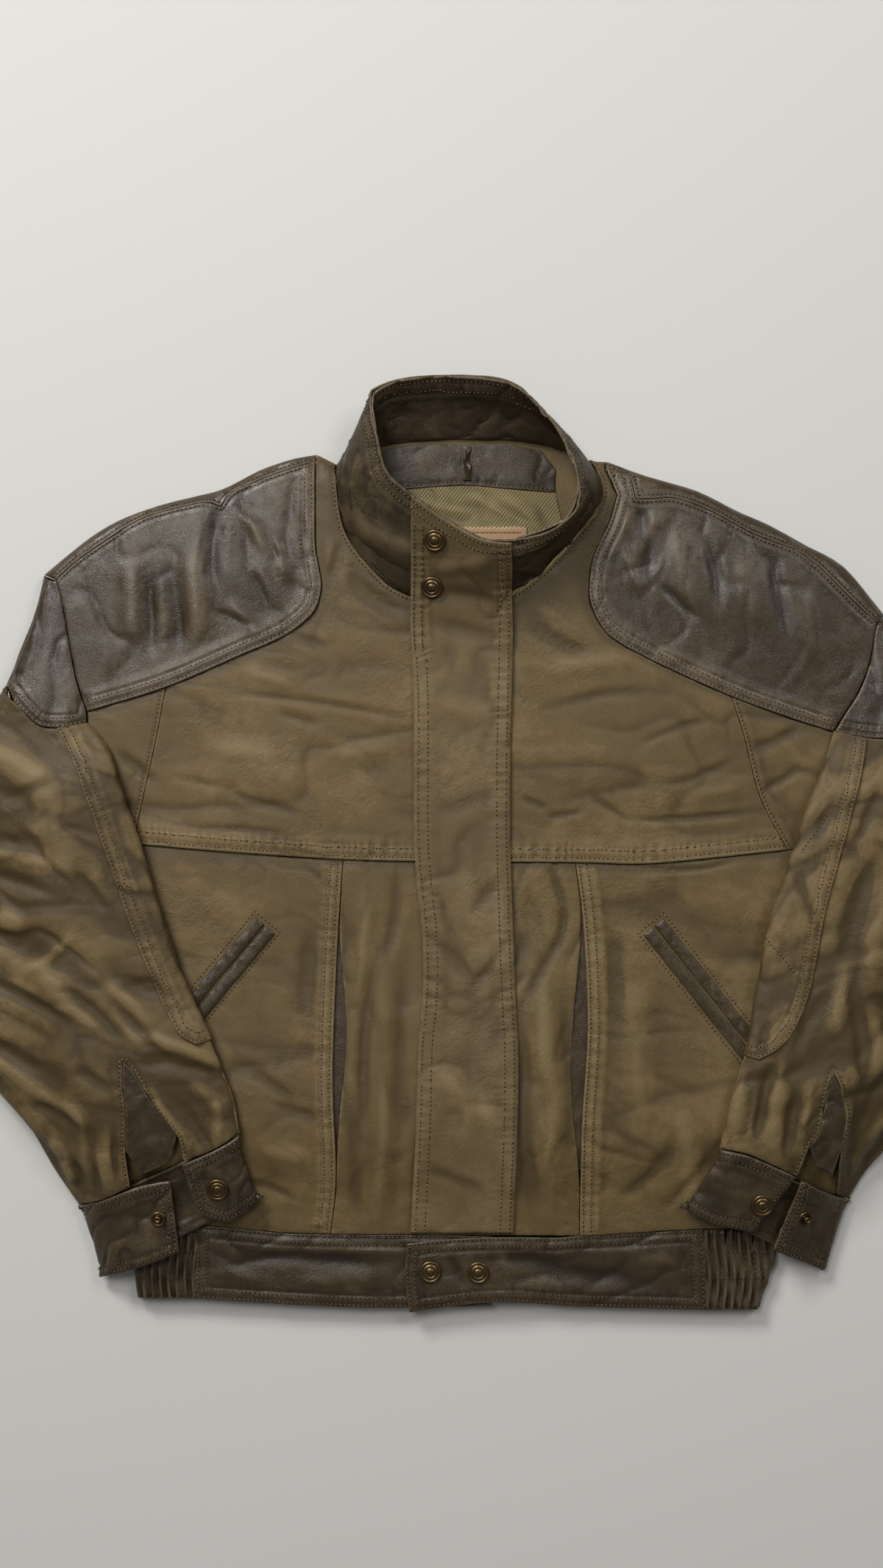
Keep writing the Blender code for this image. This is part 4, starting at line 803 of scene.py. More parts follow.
class Thread:
    """Rows of stitches of one sub-assembly, all in one piece of thread colour, with dark discs of painted
    shade at their needle punctures.
    """

    def __init__(self, name: str, finish: "Finish", pitch: float = 3.0, size: float = 2.15,
                 thick: float = 0.78) -> None:
        """Start with no stitches.

        Args:
            name: the name of the piece that the stitches make.
            finish: the thread's finish.
            pitch: the distance between stitches.
            size: the length of a stitch.
            thick: its thickness.
        """
        self.name = name
        self.finish = finish
        self.pitch = pitch
        self.size = size
        self.thick = thick
        self.middles: list[np.ndarray] = []
        self.ways: list[np.ndarray] = []
        self.outs: list[np.ndarray] = []

    def row(self, skin: Skin, line: np.ndarray) -> None:
        """Sew one row of stitches on a sheet.

        Args:
            skin: the sheet.
            line: the points that the row follows.
        """
        tree = skin.tree()
        marks = evenly(line, self.pitch)
        if len(marks) < 3:
            return
        middle = 0.5 * (marks[:-1] + marks[1:])
        way = np.diff(marks, axis=0)
        spots, outs = [], []
        for place in middle:
            spot, out, _, _ = tree.find_nearest(Vector(place))
            spots.append(tuple(spot))
            outs.append(tuple(out))
        spots, outs = np.array(spots), np.array(outs)
        way = unit(way - outs * (way * outs).sum(axis=1)[:, None])
        self.middles.append(spots + outs * (RAISED * self.thick - SUNK))
        self.ways.append(way)
        self.outs.append(outs)

    def rows(self, skin: Skin, way: np.ndarray, insets: tuple[float, ...]) -> None:
        """Sew rows of stitches along a stretch of a sheet's rim, on its finished form."""
        for inset in insets:
            self.row(skin, skin.beside(way, inset))

    def piece(self) -> bpy.types.Object:
        """Make the joined piece of all the rows."""
        middle, way, out = (np.vstack(rows) for rows in (self.middles, self.ways, self.outs))
        side = np.cross(out, way)
        lean = np.radians(STITCH_LEAN)
        way, side = way * np.cos(lean) + side * np.sin(lean), side * np.cos(lean) - way * np.sin(lean)
        half = 0.5 * self.size
        corners = [middle - way * half - out * 0.25 * self.thick]
        for angle in SIX_WAYS:
            corners.append(middle + 0.5 * self.thick * (side * np.cos(angle)
                                                        + out * 0.8 * np.sin(angle)))
        corners.append(middle + way * half - out * 0.25 * self.thick)
        points = np.stack(corners, axis=1)
        count = len(middle)
        start = 8 * np.arange(count)[:, None]
        faces = []
        for i in range(6):
            j = (i + 1) % 6
            faces.append(start + np.array([0, 1 + j, 1 + i]))
            faces.append(start + np.array([7, 1 + i, 1 + j]))
        # Dark discs of painted shade, one at each needle puncture between stitches
        hole_shade_middle = middle - way * 0.5 * self.pitch - out * (RAISED * self.thick - HOLE_SHADE_LIFT)
        rings = [hole_shade_middle + HOLE_SHADE_RADIUS * (way * math.cos(angle) + side * math.sin(angle))
                 for angle in SIX_WAYS]
        start = 8 * count + 6 * np.arange(count)[:, None]
        hole_shade_faces = np.vstack([start + np.array(four) for four in ((0, 1, 2), (0, 2, 3), (0, 3, 4),
                                                               (0, 4, 5))])
        mesh = bpy.data.meshes.new(self.name)
        shown = np.vstack([points.reshape(-1, 3), np.stack(rings, axis=1).reshape(-1, 3)])
        mesh.from_pydata((shown * MM).tolist(), [], np.vstack([*faces, hole_shade_faces]).tolist())
        mesh.shade_smooth()
        mesh.materials.append(self.finish.material())
        mesh.materials.append(NEEDLE_HOLE_SHADE.material())
        mesh.polygons.foreach_set("material_index", [0] * (12 * count) + [1] * (4 * count))
        made = carried(mesh)
        LOG.info("%s: %d stitches", self.name, count)
        return made


Colour = tuple[float, float, float]


class Tree:
    """A short way to add linked nodes to a shader's tree."""

    def __init__(self, tree: bpy.types.NodeTree) -> None:
        """Keep the tree that nodes are added to."""
        self.tree = tree

    def add(self, kind: str, sockets: dict | None = None, **settings) -> bpy.types.Node:
        """Add a node.

        Args:
            kind: the node's type, without its ShaderNode prefix.
            sockets: for each input's name or number, a constant, or an output to link it to.
            settings: the node's own settings.

        Returns:
            The node.
        """
        node = self.tree.nodes.new(f"ShaderNode{kind}")
        for key, value in settings.items():
            setattr(node, key, value)
        self.feed(node, sockets or {})
        return node

    def feed(self, node: bpy.types.Node, sockets: dict) -> None:
        """Give a node's inputs their constants, or the outputs to link them to."""
        for key, value in sockets.items():
            if isinstance(value, bpy.types.NodeSocket):
                self.tree.links.new(value, node.inputs[key])
            elif isinstance(value, tuple) and len(value) == 3 and node.inputs[key].type == "RGBA":
                node.inputs[key].default_value = (*value, 1.0)
            else:
                node.inputs[key].default_value = value

    def place(self) -> bpy.types.NodeSocket:
        """The place on the jacket, in metres."""
        return self.add("TexCoord").outputs["Object"]

    def stored(self, name: str) -> bpy.types.NodeSocket:
        """A value that the mesh keeps at each of its points."""
        return self.add("Attribute", attribute_name=name).outputs["Fac"]

    def math(self, kind: str, first, second=0.0, clamp: bool = False) -> bpy.types.NodeSocket:
        """Add a sum on two numbers, each a constant or an output, and return its result."""
        node = self.add("Math", {0: first, 1: second}, operation=kind, use_clamp=clamp)
        return node.outputs[0]

    def times(self, first, second, clamp: bool = False) -> bpy.types.NodeSocket:
        """The product of two numbers, each a constant or an output."""
        return self.math("MULTIPLY", first, second, clamp)

    def plus(self, first, second, clamp: bool = False) -> bpy.types.NodeSocket:
        """The sum of two numbers, each a constant or an output."""
        return self.math("ADD", first, second, clamp)

    def spread(self, value, low: float, high: float, start: float = 0.0,
               end: float = 1.0) -> bpy.types.NodeSocket:
        """Map a number smoothly from low to high on to start to end, and return it."""
        node = self.add("MapRange", {"Value": value, "From Min": low, "From Max": high,
                                     "To Min": start, "To Max": end},
                        interpolation_type="SMOOTHSTEP")
        return node.outputs[0]

    def blend(self, share, first, second) -> bpy.types.NodeSocket:
        """Mix two colours by a share, and return the colour."""
        return self.add("Mix", {0: share, 6: first, 7: second}, data_type="RGBA").outputs[2]

    def noise(self, where, scale: float, detail: float = 3.0, rough: float = 0.5,
              warp: float = 0.0) -> bpy.types.NodeSocket:
        """Add a noise of a scale, in turns a metre, and return its strength."""
        node = self.add("TexNoise", {"Vector": where, "Scale": scale, "Detail": detail,
                                     "Roughness": rough, "Distortion": warp})
        return node.outputs[0]


def group(name: str, inputs: dict[str, object], outputs: dict[str, str]) -> tuple:
    """Make a node group, or find the one already made.

    Args:
        name: the group's name.
        inputs: each input's name, with its usual value.
        outputs: each output's name, with its socket type.

    Returns:
        The group, and the tree helper, input node and output node to fill it with; the last
        three are None where the group was made before.
    """
    known = bpy.data.node_groups.get(name)
    if known:
        return known, None, None, None
    made = bpy.data.node_groups.new(name, "ShaderNodeTree")
    for label, value in inputs.items():
        kind = "NodeSocketColor" if isinstance(value, tuple) else "NodeSocketFloat"
        socket = made.interface.new_socket(label, in_out="INPUT", socket_type=kind)
        socket.default_value = (*value, 1.0) if isinstance(value, tuple) else value
    for label, kind in outputs.items():
        made.interface.new_socket(label, in_out="OUTPUT", socket_type=kind)
    source = made.nodes.new("NodeGroupInput")
    result = made.nodes.new("NodeGroupOutput")
    return made, Tree(made), source, result


def grain_group() -> bpy.types.NodeTree:
    """Pebbled leather grain with fine creases: puts out a height, and the pores between."""
    made, tree, source, result = group(
        "leather grain", {"Pebbles": 900.0, "Grain": 1.0, "Creases": 1.0},
        {"Height": "NodeSocketFloat", "Pores": "NodeSocketFloat"})
    if tree is None:
        return made
    place = tree.place()
    bend = tree.add("TexNoise", {"Vector": place, "Scale": 260.0, "Detail": 2.0})
    shift = tree.add("VectorMath", {0: bend.outputs["Color"], 1: (0.5, 0.5, 0.5)},
                     operation="SUBTRACT")
    shift = tree.add("VectorMath", {0: shift.outputs[0], "Scale": 0.0016}, operation="SCALE")
    bent = tree.add("VectorMath", {0: place, 1: shift.outputs[0]}, operation="ADD").outputs[0]
    pebble = tree.add("TexVoronoi", {"Vector": bent, "Scale": source.outputs["Pebbles"]},
                      feature="DISTANCE_TO_EDGE")
    round_top = tree.spread(pebble.outputs["Distance"], 0.0, 0.42)
    broad = tree.noise(bent, 70.0, 3.0, 0.55)
    worn = tree.spread(broad, 0.35, 0.62, 0.35, 1.0)
    grain = tree.times(tree.times(round_top, worn), source.outputs["Grain"])
    line = tree.noise(bent, 95.0, 4.0, 0.55, 0.6)
    line = tree.math("ABSOLUTE", tree.math("SUBTRACT", line, 0.5))
    line = tree.spread(line, 0.0, 0.16)
    second = tree.noise(bent, 210.0, 3.0, 0.5, 0.4)
    second = tree.spread(tree.math("ABSOLUTE", tree.math("SUBTRACT", second, 0.5)), 0.0, 0.2)
    where = tree.spread(tree.noise(place, 24.0, 2.0), 0.42, 0.66)
    creased = tree.plus(tree.times(line, 1.5), second)
    creased = tree.times(tree.times(creased, where), source.outputs["Creases"])
    lumps = tree.times(tree.noise(place, 130.0, 4.0, 0.6), 0.6)
    height = tree.plus(tree.plus(grain, creased), lumps)
    tree.feed(result, {"Height": height, "Pores": tree.math("SUBTRACT", 1.0, round_top, True)})
    return made


def patina_and_shade_group() -> bpy.types.NodeTree:
    """Aged colour with painted light: mottling, painted shade in troughs and beside seams, painted
    highlights on ridges, and a worn rim that partly stands in as a painted highlight, with a gloss mask.
    """
    made, tree, source, result = group(
        "worn_patina_and_painted_shade",
        {"Colour": (0.15, 0.11, 0.06), "Dark": (0.07, 0.05, 0.03), "Light": (0.25, 0.19, 0.11),
         "Mottle": 1.0, "Rim wear and highlight": 0.6, "Pores": 0.0},
        {"Colour": "NodeSocketColor", "Matt": "NodeSocketFloat"})
    if tree is None:
        return made
    take = source.outputs
    place = tree.place()
    rim = tree.stored("rim")
    shade_and_highlight = tree.stored("shade_and_highlight")
    seam = tree.stored("seam")
    large = tree.spread(tree.noise(place, 13.0, 3.0, 0.55), 0.32, 0.68)
    small = tree.spread(tree.noise(place, 75.0, 5.0, 0.65), 0.3, 0.7)
    patch = tree.plus(tree.times(large, 0.55), tree.times(small, 0.45))
    share = tree.times(tree.math("SUBTRACT", 1.0, patch), take["Mottle"])
    colour = tree.blend(tree.times(share, 0.62, True), take["Colour"], take["Dark"])
    bright = tree.times(tree.spread(patch, 0.5, 1.0), take["Mottle"])
    colour = tree.blend(tree.times(bright, 0.35, True), colour, take["Light"])
    # Painted shade: troughs of the relief darkened towards the dark colour
    painted_trough_shade = tree.times(tree.spread(shade_and_highlight, 0.0, -0.75), 0.82)
    colour = tree.blend(painted_trough_shade, colour, take["Dark"])
    # Painted highlight: ridges of the relief lightened towards the light colour
    crest = tree.times(tree.spread(shade_and_highlight, 0.05, 0.9), 0.55)
    colour = tree.blend(crest, colour, take["Light"])
    # Painted shade beside every seam, from the seam mask
    colour = tree.blend(tree.times(seam, 0.18), colour, take["Dark"])
    # The rim is lightened in worn patches; this is real wear and also a painted highlight on the rolled
    # edges
    chafe = tree.spread(tree.noise(place, 160.0, 4.0, 0.7), 0.3, 0.62)
    rim_wear_and_highlight = tree.times(tree.spread(rim, 0.35, 0.95), tree.times(chafe, take["Rim wear and highlight"]), True)
    colour = tree.blend(rim_wear_and_highlight, colour, take["Light"])
    colour = tree.blend(tree.times(take["Pores"], 0.35), colour, take["Dark"])
    matt = tree.plus(tree.times(small, 0.6), tree.times(rim_wear_and_highlight, 0.4), True)
    tree.feed(result, {"Colour": colour, "Matt": matt})
    return made


@dataclass(frozen=True)
class Finish:
    """A material that is made the first time it is asked for.

    Attributes:
        name: the material's name.
    """

    name: str

    def material(self) -> bpy.types.Material:
        """The finish's material."""
        known = bpy.data.materials.get(self.name)
        if known:
            return known
        made = bpy.data.materials.new(self.name)
        made.use_nodes = True
        tree = Tree(made.node_tree)
        tree.feed(made.node_tree.nodes["Principled BSDF"], self.surface(tree))
        return made

    def surface(self, tree: Tree) -> dict:
        """What the surface's inputs are fed with; each finish has its own."""
        raise NotImplementedError


@dataclass(frozen=True)
class Leather(Finish):
    """A leather's finish.

    Attributes:
        colour: its main colour.
        dark: the colour of its stains and dark mottles, and of the painted shade in its troughs and
            beside its seams.
        light: the colour of its pale mottles and worn rim, and of the painted highlights on its ridges
            and rim.
        smooth: its roughness where it is smoothest.
        matt: its roughness where it is most worn.
        coat: how much of a polished coat it has.
        pebbles: the count of grain pebbles in a metre.
        grain: how deep the grain is.
        creases: how deep the fine creases are.
        rub_and_highlight: how much its rim is worn pale, which partly stands in as a painted highlight on
            the rolled edge.
        mottle: how much its colour varies.
        relief: the depth of the whole grain, in metres.
        shine: how strongly its surface reflects.
    """

    colour: Colour
    dark: Colour
    light: Colour
    smooth: float = 0.46
    matt: float = 0.68
    coat: float = 0.0
    pebbles: float = 900.0
    grain: float = 0.4
    creases: float = 0.4
    rub_and_highlight: float = 0.6
    mottle: float = 0.8
    relief: float = 0.00024
    shine: float = 0.3

    def surface(self, tree: Tree) -> dict:
        """Grained leather under its aged colour, with painted shade and highlights."""
        grain = tree.add("Group", node_tree=grain_group())
        tree.feed(grain, {"Pebbles": self.pebbles, "Grain": self.grain, "Creases": self.creases})
        patina_and_shade = tree.add("Group", node_tree=patina_and_shade_group())
        tree.feed(patina_and_shade, {"Colour": self.colour, "Dark": self.dark, "Light": self.light,
                           "Mottle": self.mottle, "Rim wear and highlight": self.rub_and_highlight,
                           "Pores": grain.outputs["Pores"]})
        rough = tree.spread(patina_and_shade.outputs["Matt"], 0.0, 1.0, self.smooth, self.matt)
        bump = tree.add("Bump", {"Strength": 1.0, "Distance": self.relief,
                                 "Height": grain.outputs["Height"]})
        return {"Base Color": patina_and_shade.outputs["Colour"], "Roughness": rough,
                "Normal": bump.outputs["Normal"], "Coat Weight": self.coat,
                "Coat Roughness": 0.28, "Specular IOR Level": self.shine}


@dataclass(frozen=True)
class StripedLining(Finish):
    """A fine diagonal stripe, woven.

    Attributes:
        name: the material's name.
        ground: the colour of the cloth.
        stripe: the colour of the stripes.
        pitch: the distance between stripes, in metres.
        angle: the direction across the stripes, in degrees from +X.
    """

    name: str = "woven_stripes"
    ground: Colour = (0.215, 0.165, 0.058)
    stripe: Colour = (0.030, 0.023, 0.010)
    pitch: float = 0.0019
    angle: float = 38.0

    def surface(self, tree: Tree) -> dict:
        """Worn cloth with its stripes woven in."""
        place = tree.place()
        turned = tree.add("Mapping", {"Vector": place,
                                      "Rotation": (0.0, 0.0, math.radians(self.angle))})
        wave = tree.add("TexWave", {"Vector": turned.outputs[0], "Scale": 0.314 / self.pitch,
                                    "Distortion": 0.35, "Detail": 2.0, "Detail Scale": 1.5})
        line = tree.spread(wave.outputs["Fac"], 0.55, 0.85)
        shade_and_highlight = tree.stored("shade_and_highlight")
        worn = tree.spread(tree.noise(place, 40.0, 4.0, 0.6), 0.3, 0.7, 0.55, 1.0)
        colour = tree.blend(tree.times(line, worn), self.ground, self.stripe)
        # Painted shade in the lining's troughs, towards the stripe colour
        painted_trough_shade = tree.times(tree.spread(shade_and_highlight, 0.0, -1.0), 0.75)
        colour = tree.blend(painted_trough_shade, colour, self.stripe)
        yarn = tree.noise(place, 1800.0, 2.0)
        height = tree.plus(tree.times(yarn, 0.6), tree.times(line, 0.5))
        bump = tree.add("Bump", {"Strength": 1.0, "Distance": 0.00018, "Height": height})
        return {"Base Color": colour, "Normal": bump.outputs["Normal"], "Roughness": 0.62,
                "Sheen Weight": 0.25}


@dataclass(frozen=True)
class Yarn(Finish):
    """Sewing thread, matt and a little worn."""

    colour: Colour
    worn: Colour

    def surface(self, tree: Tree) -> dict:
        """Thread in two tones, with its fibres."""
        place = tree.place()
        share = tree.spread(tree.noise(place, 60.0, 3.0), 0.35, 0.65)
        colour = tree.blend(share, self.colour, self.worn)
        fibre = tree.add("Bump", {"Strength": 0.6, "Distance": 0.0001,
                                  "Height": tree.noise(place, 4200.0, 1.0)})
        return {"Base Color": colour, "Normal": fibre.outputs["Normal"], "Roughness": 0.8,
                "Specular IOR Level": 0.12}


@dataclass(frozen=True)
class AgedMetal(Finish):
    """Plated metal, worn bright on its ridges and dull in its grooves."""

    bright: Colour
    dull: Colour
    polished: float = 0.24
    tarnished: float = 0.5

    def surface(self, tree: Tree) -> dict:
        """Stained metal with fine scratches."""
        place = tree.place()
        groove = tree.stored("groove")
        stain = tree.spread(tree.noise(place, 420.0, 5.0, 0.65), 0.38, 0.66)
        share = tree.math("MAXIMUM", groove, tree.times(stain, 0.55))
        colour = tree.blend(share, self.bright, self.dull)
        rough = tree.spread(share, 0.0, 1.0, self.polished, self.tarnished)
        scratch = tree.add("Bump", {"Strength": 0.5, "Distance": 0.00006,
                                    "Height": tree.noise(place, 1500.0, 4.0, 0.6)})
        return {"Base Color": colour, "Roughness": rough, "Normal": scratch.outputs["Normal"],
                "Metallic": 1.0}


OLIVE = Leather("worn_olive_right", (0.172, 0.117, 0.048), (0.066, 0.044, 0.018),
                (0.30, 0.22, 0.11), smooth=0.44, matt=0.66)
OLIVE_LEFT = Leather("worn_olive_left", (0.170, 0.116, 0.046), (0.062, 0.042, 0.017),
                     (0.28, 0.205, 0.10), smooth=0.44, matt=0.66)
OLIVE_SLEEVE = Leather("worn_olive_sleeve", (0.166, 0.112, 0.044), (0.050, 0.033, 0.013),
                       (0.29, 0.21, 0.10), smooth=0.50, matt=0.70, mottle=1.0)
OLIVE_FRONT = Leather("worn_olive_placket", (0.178, 0.124, 0.056), (0.076, 0.052, 0.023),
                      (0.31, 0.235, 0.125), smooth=0.46, matt=0.66, mottle=0.7)
OLIVE_COLLAR = Leather("worn_olive_collar", (0.050, 0.034, 0.016), (0.018, 0.012, 0.006),
                       (0.19, 0.14, 0.075), smooth=0.42, matt=0.62, rub_and_highlight=0.9)
PALE_TAN = Leather("pale_tan_leather", (0.40, 0.255, 0.135), (0.24, 0.14, 0.07),
                   (0.62, 0.46, 0.30), smooth=0.55, matt=0.75, grain=0.3, rub_and_highlight=0.9)
DARK = Leather("glossy_dark_leather", (0.068, 0.045, 0.022), (0.015, 0.010, 0.005),
               (0.16, 0.115, 0.065), smooth=0.33, matt=0.46, coat=0.04, grain=0.4, creases=0.3,
               rub_and_highlight=0.6, shine=0.4)
DARK_YOKE = Leather("glossy_dark_yoke", (0.068, 0.045, 0.022), (0.017, 0.011, 0.006),
                    (0.20, 0.15, 0.10), smooth=0.32, matt=0.44, coat=0.05, grain=0.4,
                    creases=0.25, rub_and_highlight=0.6, shine=0.45)
STRIPES = StripedLining()
BRASS = AgedMetal("antique_brass", (0.17, 0.115, 0.056), (0.040, 0.027, 0.015), 0.34)
TAN_THREAD = Yarn("tan_thread", (0.24, 0.18, 0.105), (0.15, 0.11, 0.06))
DARK_THREAD = Yarn("dark_thread", (0.17, 0.13, 0.085), (0.10, 0.073, 0.045))
NEEDLE_HOLE_SHADE = Yarn("needle_hole_shade", (0.018, 0.012, 0.007), (0.030, 0.021, 0.012))
# How far the dark disc of painted shade at a needle puncture reaches from its middle, and how high it
# lies over the leather
HOLE_SHADE_RADIUS = 0.55
HOLE_SHADE_LIFT = 0.22


def relief_of(points: np.ndarray, creases: tuple[Crease, ...],
              crumples: tuple[Crumple, ...] = ()) -> np.ndarray:
    """The summed height of creases and crumples at each point."""
    made = np.zeros(len(points))
    for crease in creases:
        made += crease.relief(points[:, :2])
    for crumple in crumples:
        made += crumple.relief(points)
    return made


@dataclass
class BodyFront:
    """Yokes, shoulder wraps, chest, side panels, lower fronts, pleats and pockets.

    Attributes:
        wall: the thickness of the leather.
        welt_wall: the thickness of a pocket's welts.
        seam_row: how far a single row of stitches runs from its seam.
        yoke_row: the same for the seam between a yoke and its shoulder wrap.
        hem_rows: how far the two rows of a folded hem run from its edge.
        wide_rows: the same for the hem over the pleats.
        slit_rows: the same for the edge of the slit.
        pocket_half: how far the stitches round a pocket run from its middle line.
        pocket_ends: how far past the pocket's upper end, and along it, they run.
        welt_round: how far inside its rim a pocket's welt is rounded, and how high.
        chest_creases: the creases of the chest and side panels.
        yoke_creases: the broad folds of the yokes.
        lower_creases: the creases below the chest.
        crumples: the small creases of the chest, the side panels and the lower fronts.
        pleat_crumples: the same for the pleats.
        yoke_crumples: the same for the yokes and the shoulder wraps.
    """

    wall: float = 1.6
    welt_wall: float = 1.0
    seam_row: float = 2.4
    yoke_row: float = 3.0
    hem_rows: tuple[float, float] = (2.6, 8.6)
    wide_rows: tuple[float, float] = (3.6, 10.4)
    slit_rows: tuple[float, float] = (3.0, 9.4)
    pocket_half: float = 11.0
    pocket_ends: tuple[float, float] = (-2.4, 148.0)
    welt_round: tuple[float, float] = (3.6, 0.9)
    chest_creases: tuple[Crease, ...] = creases_at(
        (-153, 102, -34, 84, 2.6, -1, 2), (-124, 89, -94, 80, 3.5, -0.9),
        (-160, 38, -108, 20, 3.2, -1, -2), (-197, 45, -158, 38, 3, -0.7),
        (-114, 141, -90, 133, 3.5, -0.8), (-76, 183, -35, 156, 6, -1.6, -4),
        (-195, 9, -116, 5, 3, -0.9, 2), (-150, 118, -110, 108, 6, 1.2),
        (-90, 60, -40, 66, 7, 0.9), (-170, 66, -120, 60, 8, 1), (-80, 205, -88, 178, 4, -1.2),
        (114, 16, 202, 22, 2.4, -1.3, -2), (42, 31, 60, 23, 2.6, -1),
        (59, 18, 84, 22, 2.6, -1, -1), (90, 31, 116, 15, 3, -1),
        (137, 40, 186, 57, 3, -1, -3), (120, 66, 170, 84, 3, -0.8, 2),
        (60, 92, 130, 104, 4, -0.8, 3), (48, 150, 88, 128, 6, -1.3, -3),
        (60, 120, 120, 126, 7, 0.9), (150, 30, 196, 40, 6, 1), (205, 34, 230, 50, 3, -1.1),
        (198, 62, 232, 78, 4, -1.1), (-232, 62, -206, 40, 4, -1.1), (-240, 30, -214, 20, 3.5, -0.9))
    yoke_creases: tuple[Crease, ...] = creases_at(
        (-163, 228, -168, 172, 5.5, -2.2, -3), (-152, 226, -128, 196, 5, 1.7, 2),
        (-136, 213, -121, 190, 3.2, -1.8), (-126, 206, -116, 176, 4.5, 1.4),
        (-141, 184, -130, 160, 3.2, -1.5), (-196, 188, -192, 128, 8, -1.9, 3),
        (-180, 200, -178, 140, 9, 1.8, -2), (-157, 164, -134, 140, 4.5, 1.4),
        (-168, 158, -136, 146, 2.6, -1), (-225, 196, -222, 136, 9, 1.4),
        (-212, 190, -210, 130, 6, -1.5), (-110, 224, -104, 182, 5, -1.2, 2),
        (120, 230, 128, 178, 6, -2, 3), (134, 226, 120, 192, 5, 1.5),
        (150, 218, 158, 160, 7, 1.8, -3), (166, 212, 176, 158, 5, -1.8, 2),
        (192, 202, 200, 148, 8, 1.6), (212, 196, 222, 138, 5.5, -1.6), (108, 206, 126, 166, 4, 1.2),
        (136, 176, 162, 150, 3, -1.3), (232, 178, 240, 120, 7, 1.3))
    lower_creases: tuple[Crease, ...] = creases_at(
        (123, -17, 186, -13, 2.2, -0.8, -3.5), (104, -62, 108, -118, 7, -1.1),
        (118, -90, 122, -190, 9, 0.9), (146, -205, 110, -240, 5, -1.2, 3),
        (150, -180, 160, -250, 8, 1), (175, -210, 140, -248, 4, -1.1),
        (-150, -150, -112, -176, 4.5, -1.1, 2), (-145, -205, -100, -214, 8, 0.9),
        (-152, -232, -110, -244, 3, -1, 4), (-102, -60, -106, -120, 7, -0.9),
        (-128, -176, -96, -186, 3, -0.9), (60, -17, 71, -44, 3.6, -1.3),
        (71, -43, 62, -78, 4, -1.5, 2), (63, -74, 48, -112, 5, -1.5, -3),
        (42, -62, 40, -98, 4.5, -1.3), (56, -100, 60, -170, 7, 1.8),
        (70, -110, 74, -210, 5, -1.5, 3), (44, -130, 48, -250, 7, -1.6, -3),
        (58, -180, 62, -262, 6, 1.4), (-44, -20, -52, -80, 5, -1.5, 3),
        (-62, -30, -70, -110, 6, 1.5), (-58, -90, -66, -190, 5, -1.7, -3),
        (-38, -80, -44, -190, 6, -1.5), (-50, -150, -58, -262, 7, 1.7, 2),
        (-74, -170, -70, -258, 5, -1.4), (-34, -190, -40, -262, 6, 1.2))
    crumples: tuple[Crumple, ...] = (Crumple(30.0, 0.55, 2.8, -10.0, 3.0, 4.0),
                                     Crumple(12.0, 0.26, 3.4, -16.0, 8.0, 4.0))
    pleat_crumples: tuple[Crumple, ...] = (Crumple(17.0, 0.8, 3.0, 84.0, 2.0),)
    yoke_crumples: tuple[Crumple, ...] = (Crumple(24.0, 0.7, 2.4, 76.0, 5.0, 4.0),
                                          Crumple(12.0, 0.12, 2.2, 60.0, 9.0))
    thread: Thread = field(default_factory=lambda: Thread("body_front_stitches", TAN_THREAD))

    def yoke(self, side: Side, corners: dict[str, Point]) -> None:
        """One shoulder yoke, folded over the chest panel and sewn with two rows."""
        skin = Skin.in_plan(f"yoke_{side.value}", self.wall)
        skin.press(1.5 * relief_of(skin.points, self.yoke_creases, self.yoke_crumples), 0.4)
        edge = skin.stretch(corners["top"], corners["arm"], via=corners["tip"])
        seam = skin.stretch(corners["top"], corners["shoulder"], via=corners["kink"])
        skin.hem(edge, self.hem_rows, 0.3, 6.5, 1.0, seed=1.0)
        skin.hem(seam, (self.yoke_row,), 0.18, 7.5, 0.2, seed=2.0)
        skin.roll()
        self.thread.rows(skin, edge, self.hem_rows)
        self.thread.rows(skin, seam, (self.yoke_row,))
        skin.piece(DARK_YOKE, "dark_leather")

    def wrap(self, side: Side, corners: dict[str, Point]) -> None:
        """The back yoke's strip that comes over the shoulder's bend to the front seam."""
        skin = Skin.in_plan(f"shoulder_wrap_{side.value}", self.wall)
        skin.press(relief_of(skin.points, (), self.yoke_crumples) * 0.6, 0.4)
        seam = skin.stretch(corners["top"], corners["shoulder"], via=corners["kink"])
        skin.hem(seam, (self.yoke_row,), 0.18, 7.5, 0.3, seed=3.0)
        skin.roll(0.3)
        self.thread.rows(skin, seam, (self.yoke_row,))
        skin.piece(DARK_YOKE, "dark_leather")

    def chest(self, side: Side, finish: Leather, corners: dict[str, Point]) -> None:
        """One chest panel, its bottom edge folded over the lower front."""
        skin = Skin.in_plan(f"chest_{side.value}", self.wall)
        skin.press(1.4 * relief_of(skin.points, self.chest_creases, self.crumples), 0.8)
        skin.tuck(skin.stretch(corners["top"], corners["panel"], via=corners["tip"]))
        bottom = skin.stretch(corners["side"], corners["centre"])
        neck = skin.stretch(corners["neck"], corners["throat"])
        # Painted shade beside the neck seam, where the collar shades the chest
        gap = near(skin.points, tree_of(skin.points[neck]))[1]
        skin.shade -= 0.6 * np.exp(-(gap / 26.0) ** 2)
        skin.hem(bottom, self.wide_rows, 0.65, 5.6, 0.9, seed=4.0)
        skin.hem(neck, (self.seam_row,), 0.15, 7.0, seed=6.0)
        skin.roll(0.45)
        self.thread.rows(skin, bottom, self.wide_rows)
        self.thread.rows(skin, neck, (self.seam_row,))
        skin.piece(finish, "olive_leather")

